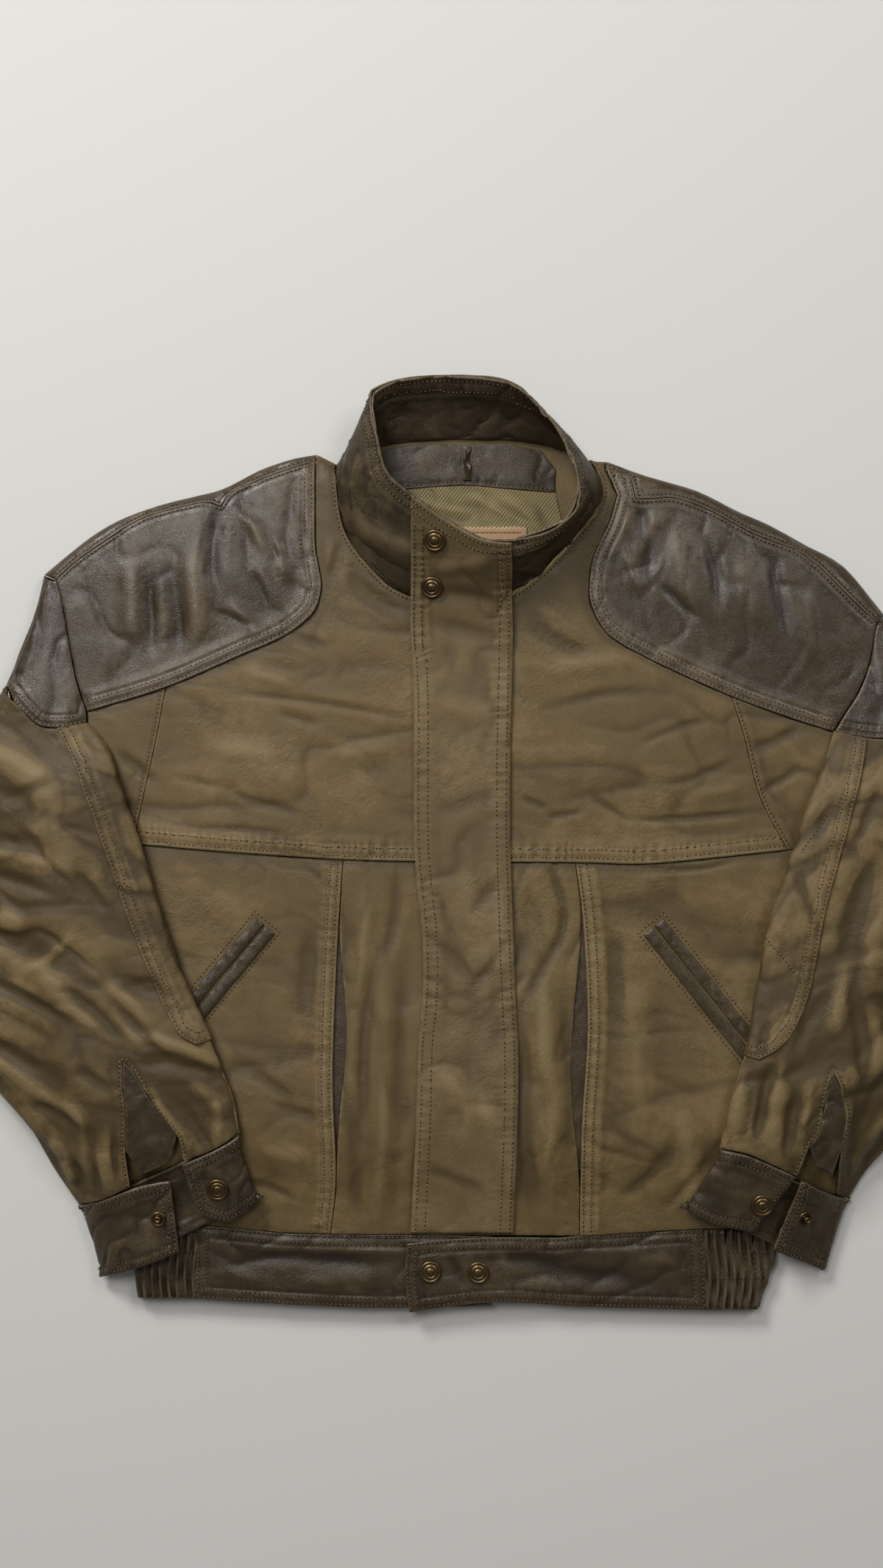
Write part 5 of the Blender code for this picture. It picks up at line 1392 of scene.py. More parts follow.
    def side_panel(self, side: Side, finish: Leather, corners: dict[str, Point]) -> None:
        """The panel between the chest and the armhole, sewn along the chest seam."""
        skin = Skin.in_plan(f"side_panel_{side.value}", self.wall)
        skin.press(1.4 * relief_of(skin.points, self.chest_creases, self.crumples), 0.8)
        skin.tuck(skin.stretch(corners["arm"], corners["panel"]))
        seam = skin.stretch(corners["panel"], corners["side"])
        skin.hem(seam, (self.seam_row,), 0.15, 7.0, 0.35, seed=7.0)
        skin.roll(0.4)
        self.thread.rows(skin, seam, (self.seam_row,))
        skin.piece(finish, "olive_leather")

    def lower(self, side: Side, finish: Leather, corners: dict[str, Point],
              pocket: tuple[Point, Point]) -> None:
        """One lower front, its slit edge folded and sewn with two rows, and the pocket's stitches."""
        skin = Skin.in_plan(f"lower_front_{side.value}", self.wall)
        skin.press(1.5 * relief_of(skin.points, self.lower_creases, self.crumples), 0.8)
        skin.tuck(skin.stretch(corners["side"], corners["pleat"]))
        slit = skin.stretch(corners["pleat"], corners["waist"])
        skin.hem(slit, self.slit_rows, 0.45, 6.0, 0.9, seed=8.0)
        skin.roll(0.5)
        self.thread.rows(skin, slit, self.slit_rows)
        start, end = np.array(pocket[0]), np.array(pocket[1])
        way = (end - start) / np.linalg.norm(end - start)
        across = np.array([-way[1], way[0]])
        half, (top, foot) = self.pocket_half, self.pocket_ends
        box = [start + across * beside + way * along
               for beside, along in ((half, foot), (half, top), (-half, top), (-half, foot))]
        for first, last in zip(box, box[1:]):
            self.thread.row(skin, skin.under(np.linspace(first, last, 30)))
        skin.piece(finish, "olive_leather")

    def pleat(self, side: Side, finish: Leather, corners: dict[str, Point]) -> None:
        """The full panel between the slit and the placket."""
        skin = Skin.in_plan(f"pleat_front_{side.value}", self.wall)
        skin.press(1.4 * relief_of(skin.points, self.lower_creases, self.pleat_crumples), 0.45)
        skin.tuck(skin.stretch(corners["pleat"], corners["centre"]))
        skin.roll(0.4).piece(finish, "olive_leather")

    def welts(self, side: Side) -> None:
        """The two welts of the slanted pocket and the welt inside the slit."""
        for level in ("upper", "lower"):
            skin = Skin.in_plan(f"pocket_welt_{level}_{side.value}", self.welt_wall, weave=FINE)
            skin.press(Crumple(9.0, 0.55, 1.0, 35.0, 4.0).relief(skin.points), 0.5)
            reach, height = self.welt_round
            share = (1.0 - skin.inset / reach).clip(0.0)
            skin.press(height * np.sqrt(np.clip(1.0 - share ** 2, 0.0, 1.0)), 0.1)
            skin.piece(DARK, "dark_leather")
        skin = Skin.in_plan(f"slit_welt_{side.value}", self.wall, weave=FINE)
        skin.press(Crumple(10.0, 0.4, 2.0, 90.0, 6.0).relief(skin.points), 0.4)
        skin.piece(DARK, "dark_leather")

    def build(self) -> None:
        """Build and dress every piece of the front."""
        corners = {
            Side.RIGHT: {"top": (-98.5, 260), "tip": (-98.5, 158), "arm": (-253.5, 89),
                         "shoulder": (-275, 179), "kink": (-162.5, 229), "side": (-222.5, -1),
                         "centre": (-12.5, -13), "neck": (-84.5, 259), "throat": (-12.5, 162),
                         "panel": (-200, 105), "pleat": (-79.5, -11.5), "waist": (-88, -267)},
            Side.LEFT: {"top": (99, 256.5), "tip": (88.5, 164), "arm": (254, 75.5),
                        "shoulder": (284, 149.5), "kink": (119.5, 234), "side": (223, -5),
                        "centre": (-12.5, -13), "neck": (87, 262), "throat": (-12.5, 162),
                        "panel": (184.5, 99.5), "pleat": (78.5, -13.5), "waist": (81.5, -268)}}
        pockets = {Side.RIGHT: ((-132.3, -55.8), (-230.0, -173.0)),
                   Side.LEFT: ((131.3, -56.8), (226.0, -177.0))}
        finishes = {Side.RIGHT: OLIVE, Side.LEFT: OLIVE_LEFT}
        for side in Side:
            self.yoke(side, corners[side])
            self.wrap(side, corners[side])
            self.chest(side, finishes[side], corners[side])
            self.side_panel(side, finishes[side], corners[side])
            self.lower(side, finishes[side], corners[side], pockets[side])
            self.pleat(side, finishes[side], corners[side])
            self.welts(side)
        self.thread.piece()


@dataclass
class BodyBack:
    """The back panel and yokes, which lie on the floor, and what shows inside the neck.

    Attributes:
        wall: the thickness of the leather.
        lining: the thickness of the lining and the neck facing.
        seam_row: how far the row of stitches runs from the facing's seam.
        loop_half: half the width of the hanger loop.
        loop_turn: how far the loop is twisted, in degrees.
        loop_rise: how far its middle stands up.
    """

    wall: float = 1.6
    lining: float = 1.0
    seam_row: float = 2.0
    loop_half: float = 2.6
    loop_turn: float = 62.0
    loop_rise: float = 2.4
    thread: Thread = field(default_factory=lambda: Thread("neck_stitches", DARK_THREAD))

    def build(self) -> None:
        """Build and dress the back and the inside of the neck."""
        small = Crumple(26.0, 0.25, 2.0, 20.0, 12.0)
        for name, finish, slot in (("back_body", OLIVE_LEFT, "olive_leather"),
                                   ("back_yoke_r", DARK_YOKE, "dark_leather"),
                                   ("back_yoke_l", DARK_YOKE, "dark_leather")):
            skin = Skin.in_plan(name, self.wall, Facing.DOWN, HIDDEN, calm=0)
            skin.press(np.minimum(small.relief(skin.points) - 0.1, 0.0), 0.4)
            skin.piece(finish, slot)
        lining = Skin.in_plan("back_lining", self.lining, weave=FINE)
        folds = creases_at(
            (-52, 232, -20, 214, 3, 2.2, 3), (-62, 222, -16, 198, 2.6, -1.4),
            (-30, 236, 10, 226, 3.2, 1.8, -2), (8, 238, 34, 222, 2.8, 1.6),
            (30, 236, 56, 214, 3.4, 2.2, 2), (-44, 204, -20, 186, 4, 1.6),
            (-10, 222, -4, 196, 3, 1.3), (52, 230, 66, 204, 3, -1.2))
        lining.press(relief_of(lining.points, folds, (Crumple(9.0, 0.9, 2.2, -28.0, 5.0),)), 0.6)
        lining.piece(STRIPES, "striped_lining")
        facing = Skin.in_plan("neck_facing", self.lining, weave=FINE)
        facing.press(Crumple(13.0, 0.7, 1.8, 4.0, 3.0).relief(facing.points), 0.8)
        seam = facing.stretch((-62, 240), (66, 240), via=(2, 245))
        facing.hem(seam, (self.seam_row,), 0.15, 6.0).roll(0.3)
        self.thread.rows(facing, seam, (self.seam_row,))
        facing.piece(DARK, "dark_leather")
        self.loop()
        self.label()
        self.thread.piece()

    def loop(self) -> None:
        """The hanger loop, a narrow strip twisted between its sewn ends."""
        low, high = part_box("hanger_loop")
        middle, start, end = (low.x + high.x) / 2 / MM, low.y / MM, high.y / MM
        level = high.z / MM
        along, wide = 29, 7
        rows = []
        for share in np.linspace(0.0, 1.0, along):
            arch = math.sin(math.pi * share)
            turn = math.radians(self.loop_turn) * arch * math.sin(2.2 * math.pi * share)
            for across in np.linspace(-1.0, 1.0, wide):
                x = middle + self.loop_half * across * math.cos(turn)
                z = (level - 0.2 + self.loop_rise * arch + self.loop_half * across * math.sin(turn)
                     - 0.25 * across * across)
                rows.append((x, start + (end - start) * share, z))
        grid = np.arange(along * wide).reshape(along, wide)
        a, b, c, d = grid[:-1, :-1], grid[:-1, 1:], grid[1:, 1:], grid[1:, :-1]
        faces = np.vstack([np.stack(three, axis=2).reshape(-1, 3) for three in ((a, b, c), (a, c, d))])
        skin = Skin("hanger_loop", 0.9, np.array(rows), faces, rim_of(faces))
        skin.piece(DARK, "dark_leather", cut=(10.2, 34.0))

    def label(self) -> None:
        """The blank leather label, its top edge pinked, held by two rows of stitches."""
        skin = Skin.in_plan("blank_label", 0.8, weave=Weave(0.55, 2.0, (0.5, 1.1, 2.2)))
        x, y = skin.points[:, 0], skin.points[:, 1]
        top, low = y.max(), y.min()
        pitch, depth = 2.8, 1.5
        tooth = depth * np.abs(((x / pitch) % 1.0) * 2.0 - 1.0)
        skin.points[:, 1] -= tooth * eased(top - 6.0, top, y)
        skin.press(relief_of(skin.points, (Crease((0, 212), (44, 196), 6.0, 0.8),),
                             (Crumple(14.0, 0.35, 2.0, 10.0, 2.0),)), 0.3)
        for level in (low + 3.0, top - 4.4):
            row = np.linspace((x.min() + 3.0, level, 4.0), (x.max() - 3.0, level, 4.0), 20)
            self.thread.row(skin, row)
        skin.roll(0.2)
        skin.piece(PALE_TAN, "label_leather")


@dataclass
class Waist:
    """The two front waistbands, the tab of one of them, and the elastic band behind.

    Attributes:
        wall: the thickness of a band.
        rows: how far the two rows of stitches run from a band's edge.
        gather: the distance between the elastic band's gathers.
        front: the height from which the elastic band shows.
        levels: where its two rows of stitches run, in y.
        shown: where its shown ends start and end, in x.
        creases: the creases of the front waistbands.
    """

    wall: float = 2.2
    rows: tuple[float, float] = (2.2, 8.4)
    gather: float = 5.6
    front: float = 6.0
    levels: tuple[float, float] = (-279.0, -297.0)
    shown: tuple[tuple[float, float], ...] = ((-221.0, -181.5), (168.5, 213.0))
    creases: tuple[Crease, ...] = creases_at(
        (-150, -284, -60, -287, 5, -1, 2), (-120, -300, -50, -296, 6, 0.9),
        (-172, -290, -130, -300, 5, 0.9), (-90, -276, -30, -281, 4, 0.7),
        (20, -282, 70, -292, 5, -1.1, 3), (60, -290, 130, -300, 6, -0.9),
        (40, -300, 96, -306, 4.5, 0.8), (90, -280, 150, -284, 6, 0.9), (-6, -282, 4, -304, 3.5, -0.9),
        (28, -276, 36, -308, 4, 0.8))
    thread: Thread = field(default_factory=lambda: Thread("waist_stitches", DARK_THREAD))

    def band(self, node: str, seed: float) -> None:
        """One front waistband with two rows of stitches all round."""
        skin = Skin.in_plan(node, self.wall)
        skin.press(1.7 * relief_of(skin.points, self.creases, (Crumple(17.0, 0.6, 2.2, 8.0, seed),)), 0.5)
        skin.hem(skin.rim, self.rows, 0.30, 8.0, 0.25, seed).roll(0.7, 2.0)
        self.thread.rows(skin, skin.rim, self.rows)
        skin.piece(DARK, "dark_leather")

    def elastic(self) -> None:
        """The band behind, gathered over its elastic by two rows of stitches in front."""
        skin = Skin.in_form("back_waistband", self.wall, 2)
        x, y = skin.points[:, 0], skin.points[:, 1]
        gathers = np.sin(2.0 * np.pi * (np.abs(x) / self.gather + 0.25 * np.sin(y / 9.0)))
        gathers *= 1.0 + 0.6 * np.sin(y / 4.0 + x / 3.0)
        skin.press(np.where(skin.points[:, 2] > self.front, 0.7, 0.12) * gathers, 0.8)
        for level in self.levels:
            for first, last in self.shown:
                furrow = -0.25 * np.exp(-(np.abs(skin.points[:, 1] - level) / 1.3) ** 2)
                skin.press(np.where(skin.points[:, 2] > self.front, furrow, 0.0), 0.5)
                self.thread.row(skin, np.linspace((first, level, 12.0), (last, level, 12.0), 30))
        skin.piece(DARK, "dark_leather", cut=(560.0, 58.0))

    def build(self) -> None:
        """Build and dress the waistbands."""
        self.band("waistband_r", 1.0)
        self.band("waistband_l", 2.0)
        self.elastic()
        self.thread.piece()


@dataclass
class Collar:
    """The stand collar and its facing, sewn together round a rolled rim.

    Attributes:
        wall: the thickness of each layer.
        rim_rows: how far the rows of stitches of the outer layer run from the rim.
        facing_rows: the same for the facing.
        start: where the rim starts, at the placket.
        back: a place of the rim behind the neck.
        end: where the rim comes back to the placket.
        rolls: the folds of the outer layer.
    """

    wall: float = 1.2
    rim_rows: tuple[float, float] = (3.4, 9.5)
    facing_rows: tuple[float, float] = (4.0, 13.0)
    start: tuple[float, float, float] = (-12.8, 219.0, 43.0)
    back: tuple[float, float, float] = (8.0, 316.0, 31.0)
    end: tuple[float, float, float] = (-12.2, 218.7, 43.0)
    rolls: tuple[Crease, ...] = creases_at(
        (-78, 210, -30, 178, 5, -1.6, -4), (-74, 222, -24, 196, 6, 1.5, -4),
        (40, 178, 88, 226, 5, -1.5, -4), (30, 190, 82, 232, 5, 1.3, -4),
        (-76, 236, -64, 262, 5, 1.2), (84, 244, 90, 222, 4, -1))
    thread: Thread = field(default_factory=lambda: Thread("collar_stitches", TAN_THREAD))

    def build(self) -> None:
        """Build and dress both layers."""
        skin = Skin.in_form("collar_outer", self.wall, 3)
        small = Crumple(15.0, 0.55, 1.8, 30.0, 7.0)
        skin.press(1.5 * relief_of(skin.points, self.rolls, (small,)), 0.6)
        rim = skin.stretch(self.start, self.end, via=self.back)
        skin.hem(rim, self.rim_rows, 0.22, 7.0, 0.5, 3.0).roll(0.6, 2.2)
        self.thread.rows(skin, rim, self.rim_rows)
        skin.piece(OLIVE_COLLAR, "olive_leather", cut=(560.0, 62.0))
        skin = Skin.in_form("collar_facing", self.wall, 3, largest=False)
        small = (Crumple(19.0, 2.2, 1.6, 70.0, 2.0), Crumple(9.0, 0.5, 1.5, 20.0, 4.0))
        skin.press(relief_of(skin.points, (), small), 0.3)
        rim = skin.stretch(self.start, self.end, via=self.back)
        skin.hem(rim, self.facing_rows, 0.35, 6.0, 0.4, 5.0).roll(0.5, 2.0)
        self.thread.rows(skin, rim, self.facing_rows)
        skin.piece(DARK_YOKE, "dark_leather", cut=(548.0, 60.0))
        self.thread.piece()


@dataclass
class Placket:
    """The strip over the middle of the front, from the hem band to the collar's rim.

    Attributes:
        wall: the thickness of the leather.
        rows: how far the two rows of stitches run from each edge.
        creases: its creases.
    """

    wall: float = 1.6
    rows: tuple[float, float] = (3.0, 9.4)
    creases: tuple[Crease, ...] = creases_at(
        (-26, -60, 10, -96, 4, -1, 2), (34, -64, 6, -104, 4, -1),
        (-20, -150, 28, -190, 8, 0.9), (-24, -220, 16, -236, 4, -0.9), (-18, 20, 26, 34, 6, -0.6),
        (-20, 96, 24, 84, 7, 0.7), (-26, 168, 30, 160, 5, -1.4, 3), (-24, 184, 24, 190, 6, 1.2),
        (-20, 150, 30, 138, 6, -0.8), (30, -20, 4, -52, 5, -0.8))
    thread: Thread = field(default_factory=lambda: Thread("placket_stitches", TAN_THREAD))

    def build(self) -> None:
        """Build and dress the placket."""
        skin = Skin.in_form("placket", self.wall, 4, Vector((0.0, 0.0, 1.0)))
        skin.press(1.5 * relief_of(skin.points, self.creases, (Crumple(22.0, 0.7, 2.2, 60.0, 4.0),)), 0.7)
        # The placket is made darker towards its top, near the collar
        skin.shade -= 0.85 * eased(135.0, 200.0, skin.points[:, 1])
        sides = [skin.stretch((-33.5, -266), (-33.0, 215), via=(-25, 20)),
                 skin.stretch((36.5, -266), (35.0, 205), via=(34, 20))]
        top = skin.stretch((-33.0, 232), (35.0, 232))
        for order, way in enumerate(sides):
            skin.hem(way, self.rows, 0.30, 6.0, 0.45, seed=4.0 + order)
        skin.roll(0.6, 1.8)
        for inset in self.rows:
            for way in (*sides, top):
                self.thread.row(skin, skin.beside(way, inset))
        skin.piece(OLIVE_FRONT, "olive_leather", cut=(74.0, 510.0))
        self.thread.piece()


@dataclass
class Sleeve:
    """One sleeve: cap, under cap, top and under sleeve, elbow patch and vent gusset.

    Attributes:
        side: which sleeve it is.
        cap: the ends and the middle of the cap's hem.
        patch: the same for the patch's edge.
        vent: the vent's lower corners, with its tip between them.
        creases: the sleeve's creases.
        lean: the direction of its small creases, in degrees from +X.
        mended: the ends of extra rows of stitches across the patch.
        wall: the thickness of the leather.
        patch_wall: the thickness of the patch.
        cap_rows: how far the rows of stitches of the cap run from its hem.
        patch_rows: the same for the patch.
        vent_row: the same for the one row round the vent.
    """

    side: Side
    cap: tuple[Point, Point, Point]
    patch: tuple[Point, Point, Point]
    vent: tuple[Point, Point, Point]
    creases: tuple[Crease, ...]
    lean: float
    mended: tuple[tuple[Point, Point], ...] = ()
    wall: float = 1.6
    patch_wall: float = 1.2
    cap_rows: tuple[float, float] = (2.4, 8.2)
    patch_rows: tuple[float, float] = (2.6, 9.2)
    vent_row: float = 2.2

    def __post_init__(self) -> None:
        """Set up the sleeve's thread and the small creases that run the way it leans."""
        self.thread = Thread(f"sleeve_{self.side.value}_stitches", TAN_THREAD)
        self.crumples = (Crumple(26.0, 1.5, 2.8, self.lean, 6.0, 3.5),
                         Crumple(12.0, 0.42, 2.6, self.lean + 24.0, 9.0))

    def sheet(self, part: str, wall: float, facing: Facing = Facing.UP, weave: Weave = SHOWN,
              calm: int = 30) -> Skin:
        """Mesh one part of this sleeve."""
        return Skin.in_plan(f"{part}_{self.side.value}", wall, facing, weave, calm)

    def underneath(self) -> None:
        """The under cap and the under sleeve, which lie face down."""
        for part, finish, slot in (("under_cap", DARK, "dark_leather"),
                                   ("sleeve_under", OLIVE_SLEEVE, "olive_leather")):
            skin = self.sheet(part, self.wall, Facing.DOWN, HIDDEN, calm=6)
            skin.press(np.minimum(self.crumples[1].relief(skin.points) - 0.2, 0.0), 0.4)
            skin.piece(finish, slot)

    def shoulder_cap(self) -> None:
        """The dark cap at the shoulder, hemmed over the top sleeve."""
        skin = self.sheet("sleeve_cap", self.wall)
        skin.press(Crumple(22.0, 1.9, 2.6, 76.0, 3.0, 2.5).relief(skin.points), 0.35)
        hem = skin.stretch(self.cap[0], self.cap[2], via=self.cap[1])
        skin.hem(hem, self.cap_rows, 0.34, 6.2, 0.6, 2.0).roll()
        self.thread.rows(skin, hem, self.cap_rows)
        skin.piece(DARK_YOKE, "dark_leather")

    def top(self) -> None:
        """The top sleeve, sewn along both edges of its vent."""
        skin = self.sheet("sleeve_top", self.wall)
        skin.press(1.35 * relief_of(skin.points, self.creases, self.crumples), 0.85)
        edges = [skin.stretch(first, last) for first, last in zip(self.vent, self.vent[1:])]
        for order, way in enumerate(edges):
            skin.hem(way, (self.vent_row,), 0.2, 6.0, 0.4, seed=3.0 + order)
        skin.roll(0.5)
        for way in edges:
            self.thread.rows(skin, way, (self.vent_row,))
        skin.piece(OLIVE_SLEEVE, "olive_leather")

    def elbow_patch(self) -> None:
        """The long patch over the elbow, creased as the sleeve under it is."""
        skin = self.sheet("elbow_patch", self.patch_wall)
        skin.press(1.35 * relief_of(skin.points, self.creases, self.crumples), 0.85)
        edge = skin.stretch(self.patch[0], self.patch[2], via=self.patch[1])
        skin.hem(edge, self.patch_rows, 0.28, 6.4, 0.5, 5.0).roll(0.6)
        self.thread.rows(skin, edge, self.patch_rows)
        for first, last in self.mended:
            self.thread.row(skin, np.linspace((*first, 32.0), (*last, 32.0), 16))
        skin.piece(OLIVE_SLEEVE, "olive_leather")

    def gusset(self) -> None:
        """The dark gusset in the vent."""
        skin = self.sheet("cuff_gusset", self.wall, weave=FINE)
        small = (Crumple(12.0, 1.0, 1.6, 40.0, 5.0), Crumple(5.0, 0.3, 1.4, 10.0, 2.0))
        skin.press(relief_of(skin.points, (), small), 0.45)
        skin.piece(DARK, "dark_leather")

    def build(self) -> None:
        """Build and dress the sleeve."""
        self.underneath()
        self.shoulder_cap()
        self.top()
        self.elbow_patch()
        self.gusset()
        self.thread.piece()


@dataclass
class Cuff:
    """One undone cuff, sewn round its edge.

    Attributes:
        side: which cuff it is.
        wall: its thickness.
        rows: how far its rows of stitches run from its edge.
    """

    side: Side
    wall: float = 2.2
    rows: tuple[float, float] = (2.2, 6.6)

    def build(self) -> None:
        """Build and dress the cuff."""
        end = self.side.value
        thread = Thread(f"cuff_{end}_stitches", DARK_THREAD)
        skin = Skin.in_form(f"cuff_{end}", self.wall, 3, sharpest=-1.0)
        skin.press(Crumple(14.0, 1.2, 1.6, 60.0, 4.0).relief(skin.points), 0.5)
        skin.hem(skin.rim, self.rows, 0.22, 7.0, 0.2, 2.0).roll(0.7, 2.0)
        thread.rows(skin, skin.rim, self.rows)
        skin.piece(DARK, "dark_leather", cut=(250.0, 52.0))
        thread.piece()


@dataclass
class Snap:
    """One turned snap cap, or the bare stud of its other half.

    Attributes:
        node: the node that it stands for.
        radius: its radius.
        profile: its outline, as shares of its radius and of its height.
        around: how many facets it has round its axis.
    """

    node: str
    radius: float
    profile: tuple[tuple[float, float], ...]
    around: int = 48

    def stand(self) -> tuple[np.ndarray, np.ndarray, float]:
        """The snap's seat, its own axis and its height, from its node's box and facets."""
        data = frame["nodes"][self.node].data
        corners = np.array([tuple(v.co) for v in data.vertices]) / MM
        sides = np.array([(*p.normal, p.area) for p in data.polygons])
        up = sides[:, 2] > 0.3
        axis = (sides[up, :3] * sides[up, 3:]).sum(axis=0)
        axis /= np.linalg.norm(axis)
        middle = (corners.min(axis=0) + corners.max(axis=0)) / 2
        reach = (corners - middle) @ axis
        return middle + axis * reach.min(), axis, reach.max() - reach.min()

    def grooves(self) -> np.ndarray:
        """How deep in a groove each ring of the profile lies, from 0 to 1."""
        rises = np.array([rise for _, rise in self.profile])
        level = np.convolve(np.pad(rises, 2, mode="edge"), np.ones(5) / 5, mode="valid")
        return np.clip((level - rises) * 9.0, 0.0, 1.0)

    def facets(self) -> list[tuple[int, ...]]:
        """The facets between the profile's rings, and those that close both ends."""
        around, last = self.around, (len(self.profile) - 1) * self.around
        made = [(ring + j, ring + (j + 1) % around, ring + around + (j + 1) % around, ring + around + j)
                for ring in range(0, last, around) for j in range(around)]
        return made + [tuple(range(around))[::-1], tuple(range(last, last + around))]

    def build(self, finish: AgedMetal) -> None:
        """Turn the snap on its own axis."""
        seat, axis, scale = self.stand()
        first = np.cross(axis, (0.0, 1.0, 0.0))
        first /= np.linalg.norm(first)
        second = np.cross(axis, first)
        points = [seat + axis * rise * scale + self.radius * share
                  * (first * math.cos(angle) + second * math.sin(angle))
                  for share, rise in self.profile
                  for angle in np.linspace(0.0, 2.0 * math.pi, self.around, endpoint=False)]
        mesh = bpy.data.meshes.new(f"{self.node}_brass")
        mesh.from_pydata((np.array(points) * MM).tolist(), [], self.facets())
        mesh.shade_smooth()
        layer = mesh.attributes.new("groove", "FLOAT", "POINT")
        layer.data.foreach_set("value", np.repeat(self.grooves(), self.around).astype(np.float32))
        mesh.materials.append(finish.material())
        made = carried(mesh)
        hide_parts(self.node)
        LOG.info("%s: %d faces", mesh.name, len(mesh.polygons))


@dataclass(frozen=True)
class SoftLight:
    """A square soft light that looks at the jacket.

    Attributes:
        name: the light's name.
        place: where it is, in metres.
        power: its power, in watts.
        colour: its colour.
        size: its side, in metres.
    """

    name: str
    place: tuple[float, float, float]
    power: float
    colour: Colour = (1.0, 0.98, 0.95)
    size: float = 0.8

    def build(self) -> bpy.types.Object:
        """Hang the light, and return it."""
        lamp = bpy.data.lights.new(self.name, "AREA")
        lamp.size = self.size
        lamp.energy = self.power
        lamp.color = self.colour
        made = bpy.data.objects.new(self.name, lamp)
        made.location = self.place
        made.rotation_euler = (-Vector(self.place)).to_track_quat("-Z", "Y").to_euler()
        bpy.context.scene.collection.objects.link(made)
        return made


@dataclass
class Studio:
    """The floor, the soft lights and the camera.

    Attributes:
        height: how far the camera is above the floor.
        aim: where the middle of the picture is on the jacket, in millimetres.
        lens: its focal length, on a sensor 36 mm along its longer side.
        floor: half the side of the floor.
        lights: the soft lights.
    """

    height: float = 1500.0
    aim: Point = (-12.5, 40.0)
    lens: float = 50.1
    floor: float = 6000.0
    lights: tuple[SoftLight, ...] = (
        SoftLight("key_light", (-1.2, 2.0, 1.7), 57.0, (1.0, 0.975, 0.94)),
        SoftLight("top_light", (-0.65, 0.8, 2.4), 19.0),
        SoftLight("side_light", (1.2, 1.2, 1.9), 13.0))

    def ground(self) -> bpy.types.Object:
        """A plain pale floor."""
        mesh = bpy.data.meshes.new("pale_floor")
        side = self.floor * MM
        mesh.from_pydata([(-side, -side, 0.0), (side, -side, 0.0), (side, side, 0.0),
                          (-side, side, 0.0)], [], [(0, 1, 2, 3)])
        material = bpy.data.materials.new("pale_floor")
        material.use_nodes = True
        shader = material.node_tree.nodes["Principled BSDF"]
        shader.inputs["Base Color"].default_value = (0.62, 0.62, 0.605, 1.0)
        shader.inputs["Roughness"].default_value = 0.85
        mesh.materials.append(material)
        made = bpy.data.objects.new("pale_floor", mesh)
        bpy.context.scene.collection.objects.link(made)
        # Just under the jacket, so that no two surfaces lie in one plane
        made.location.z = -0.4 * MM
        return made

    def camera(self) -> None:
        """The camera, straight above as in the photograph."""
        lens = bpy.data.cameras.new("camera")
        lens.lens = self.lens
        lens.sensor_width = 36.0
        lens.sensor_fit = "AUTO"
        made = bpy.data.objects.new("camera", lens)
        made.location = (self.aim[0] * MM, self.aim[1] * MM, self.height * MM)
        bpy.context.scene.collection.objects.link(made)
        bpy.context.scene.camera = made

    def build(self) -> None:
        """Set the whole studio."""
        lights = [light.build() for light in self.lights]
        self.ground()
        world = bpy.data.worlds.new("soft_room")
        world.use_nodes = True
        sky = world.node_tree.nodes["Background"]
        sky.inputs["Color"].default_value = (1.0, 0.985, 0.96, 1.0)
        sky.inputs["Strength"].default_value = 0.15
        bpy.context.scene.world = world
        self.camera()
        bpy.context.scene.view_settings.view_transform = "Standard"


CAP_RADIUS = 7.5
STUD_RADIUS = 5.0
CAP_PROFILE = ((1.0, 0.0), (1.0, 0.36), (0.975, 0.54), (0.92, 0.66), (0.86, 0.69), (0.80, 0.66),
               (0.755, 0.55), (0.71, 0.53), (0.66, 0.62), (0.61, 0.74), (0.55, 0.79), (0.49, 0.78),
               (0.44, 0.70), (0.40, 0.67), (0.36, 0.74), (0.32, 0.88), (0.26, 0.96), (0.19, 0.99),
               (0.12, 1.0), (0.03, 1.0))
STUD_PROFILE = ((1.0, 0.0), (1.0, 0.2), (0.95, 0.29), (0.86, 0.33), (0.78, 0.29), (0.72, 0.2),
                (0.62, 0.17), (0.55, 0.26), (0.51, 0.5), (0.48, 0.76), (0.44, 0.92), (0.37, 1.0),
                (0.28, 1.0), (0.22, 0.93), (0.17, 0.8), (0.03, 0.77))
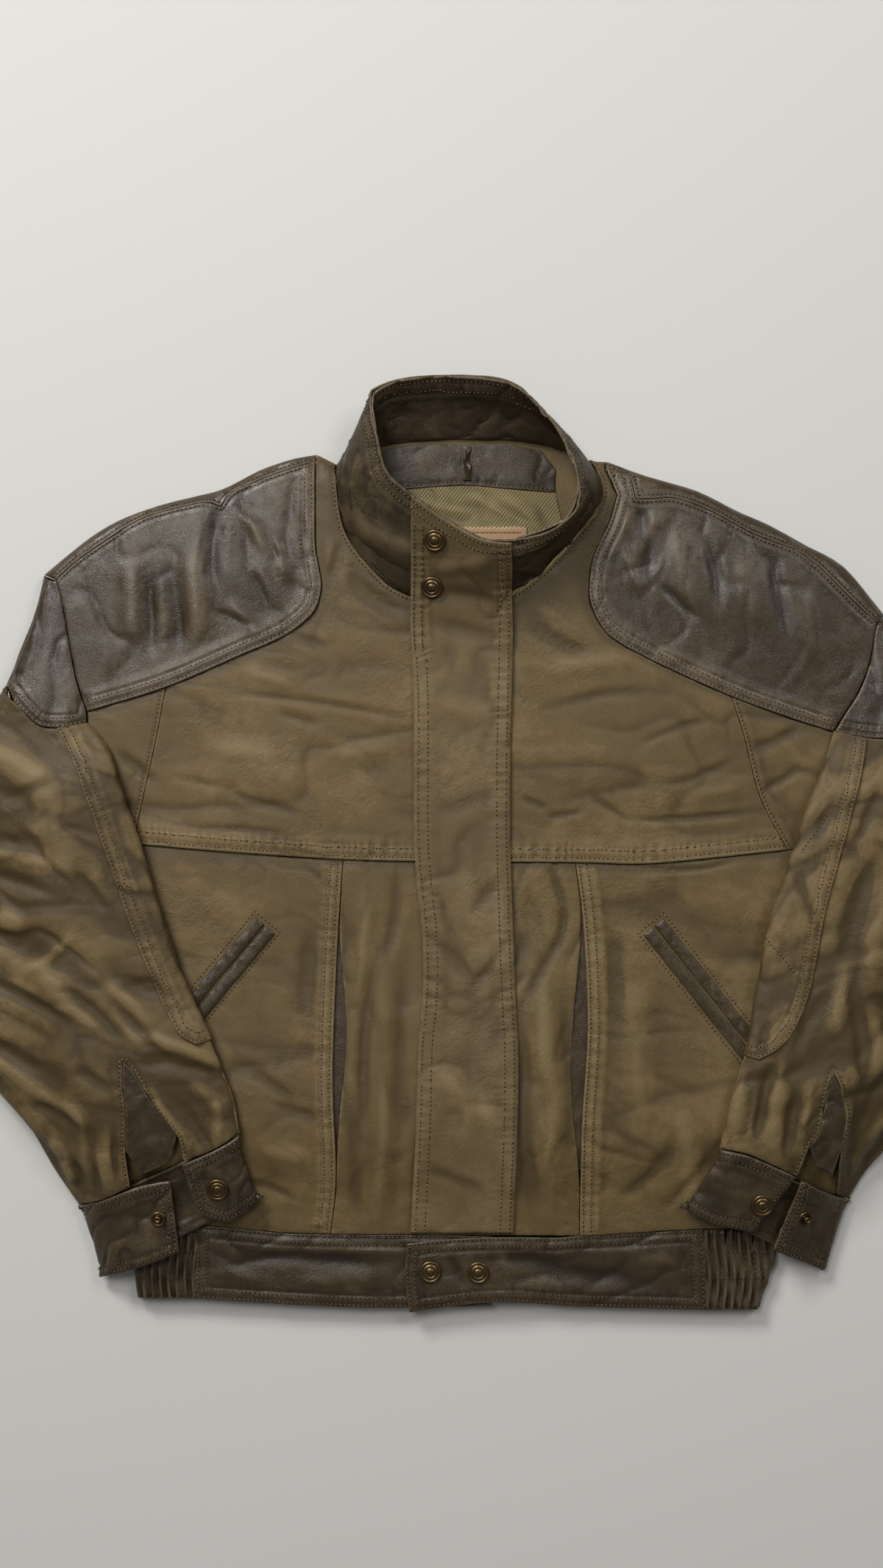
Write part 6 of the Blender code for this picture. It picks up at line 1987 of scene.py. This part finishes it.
SLEEVE_CREASES_R = creases_at(
    (-340, 66, -284, 44, 7, 2, 3), (-346, 44, -290, 26, 6, -2, 3),
    (-318, 24, -270, 44, 4.5, -1.5), (-352, 8, -284, 1, 5, -1.8, -3), (-268, 12, -244, 6, 2.4, -1.1),
    (-346, -16, -268, -36, 5, -2.4, 2), (-340, -4, -262, -18, 6, 1.8, 2),
    (-259, -18, -240, -44, 4.5, -2), (-350, -44, -280, -56, 7, 1.8),
    (-344, -60, -290, -64, 4, -1.6), (-300, -92, -260, -62, 4, 1.6, -2),
    (-344, -84, -258, -124, 5, -2.6, 3), (-336, -66, -252, -104, 7, 2, 3),
    (-272, -92, -224, -134, 4.6, -2.4, 2), (-254, -78, -212, -116, 6, 1.8),
    (-234, -104, -196, -146, 4, -1.8), (-342, -118, -268, -160, 6, -2.2, -3),
    (-330, -134, -262, -180, 6, 1.8, -3), (-222, -128, -160, -150, 4, 1.6, 3),
    (-213, -147, -163, -157, 4.6, -2.8, 3), (-207, -163, -182, -204, 4.5, 1.8, -3),
    (-214, -168, -196, -196, 3.6, -1.6), (-180, -160, -156, -182, 5, 1.6),
    (-186, -176, -168, -206, 3.6, -2), (-164, -172, -162, -200, 4, 1.4),
    (-258, -150, -232, -168, 4, -1.5), (-290, -176, -246, -200, 5, -2, 2),
    (-268, -168, -240, -228, 6, 1.8, 3), (-250, -186, -244, -236, 3.6, -2.2),
    (-238, -190, -236, -234, 3.6, 1.5), (-233, -196, -232, -230, 2.6, -1.4),
    (-262, -212, -256, -242, 3.6, -1.8), (-276, -196, -262, -236, 5, 1.6))
SLEEVE_CREASES_L = creases_at(
    (352, 24, 292, 42, 6, -2, 3), (346, 46, 290, 60, 6, 1.8), (282, 40, 262, -4, 4, -1.6, 2),
    (356, -4, 286, 4, 6, 1.8, -3), (352, -20, 276, 0, 4.4, -1.8, 3),
    (278, -8, 258, -86, 7, -2.2, -3), (296, -14, 276, -96, 8, 2.2, -3),
    (356, -54, 296, -36, 6, 1.8, 3), (350, -72, 288, -52, 5, -2, 3),
    (262, -70, 250, -130, 6, 1.8), (346, -104, 282, -78, 6, 1.8), (340, -120, 276, -104, 5, -2),
    (262, -96, 270, -168, 5, -2.4, 3), (276, -110, 284, -172, 6, 2, 3),
    (240, -108, 224, -140, 4.5, -1.6), (330, -146, 276, -158, 5, -1.8, 2),
    (296, -140, 268, -200, 5, -2, -3), (318, -160, 276, -206, 6, 1.8, -3),
    (209, -150, 199, -204, 3.6, -2.8, -2), (217, -146, 212, -208, 5, 2, -2),
    (190, -150, 184, -196, 5, 1.5), (196, -164, 190, -202, 3.4, -1.6),
    (226, -168, 218, -212, 3.6, -2.2), (236, -160, 228, -204, 4, 1.6),
    (268, -172, 262, -226, 3.6, -1.8), (300, -180, 272, -224, 4.5, -1.8),
    (206, -118, 200, -146, 3.6, -1.5), (226, -20, 240, -60, 4, -1.3), (250, 30, 238, 0, 3.6, -1.2),
    (330, 84, 300, 62, 5, -1.4))


def main() -> None:
    """Build every sub-assembly in order."""
    logging.basicConfig(level=logging.INFO, format="%(message)s")
    BodyBack().build()
    BodyFront().build()
    Waist().build()
    Collar().build()
    Placket().build()
    Sleeve(Side.RIGHT, ((-310, 108), (-285.5, 80), (-253, 80.5)),
           ((-273, 78), (-221.5, -54), (-168, -132.5)),
           ((-222.5, -232), (-226, -145.5), (-186, -214.5)), SLEEVE_CREASES_R, -26.0).build()
    Sleeve(Side.LEFT, ((318.5, 110.5), (305, 77), (254, 75.5)),
           ((275.5, 71.5), (245, -46.5), (191, -143)),
           ((258, -241.5), (250, -152.5), (227.5, -225.5)), SLEEVE_CREASES_L, 24.0,
           (((260, 35), (229, -7)), ((206, -64), (236, -100)))).build()
    Cuff(Side.RIGHT).build()
    Cuff(Side.LEFT).build()
    for node in ("placket_snap_1", "placket_snap_2", "waist_snap_1", "waist_snap_2",
                 "cuff_snap_r", "cuff_snap_l"):
        Snap(node, CAP_RADIUS, CAP_PROFILE).build(BRASS)
    for node in ("cuff_stud_r", "cuff_stud_l"):
        Snap(node, STUD_RADIUS, STUD_PROFILE).build(BRASS)
    Studio().build()


if __name__ == "__main__":
    main()
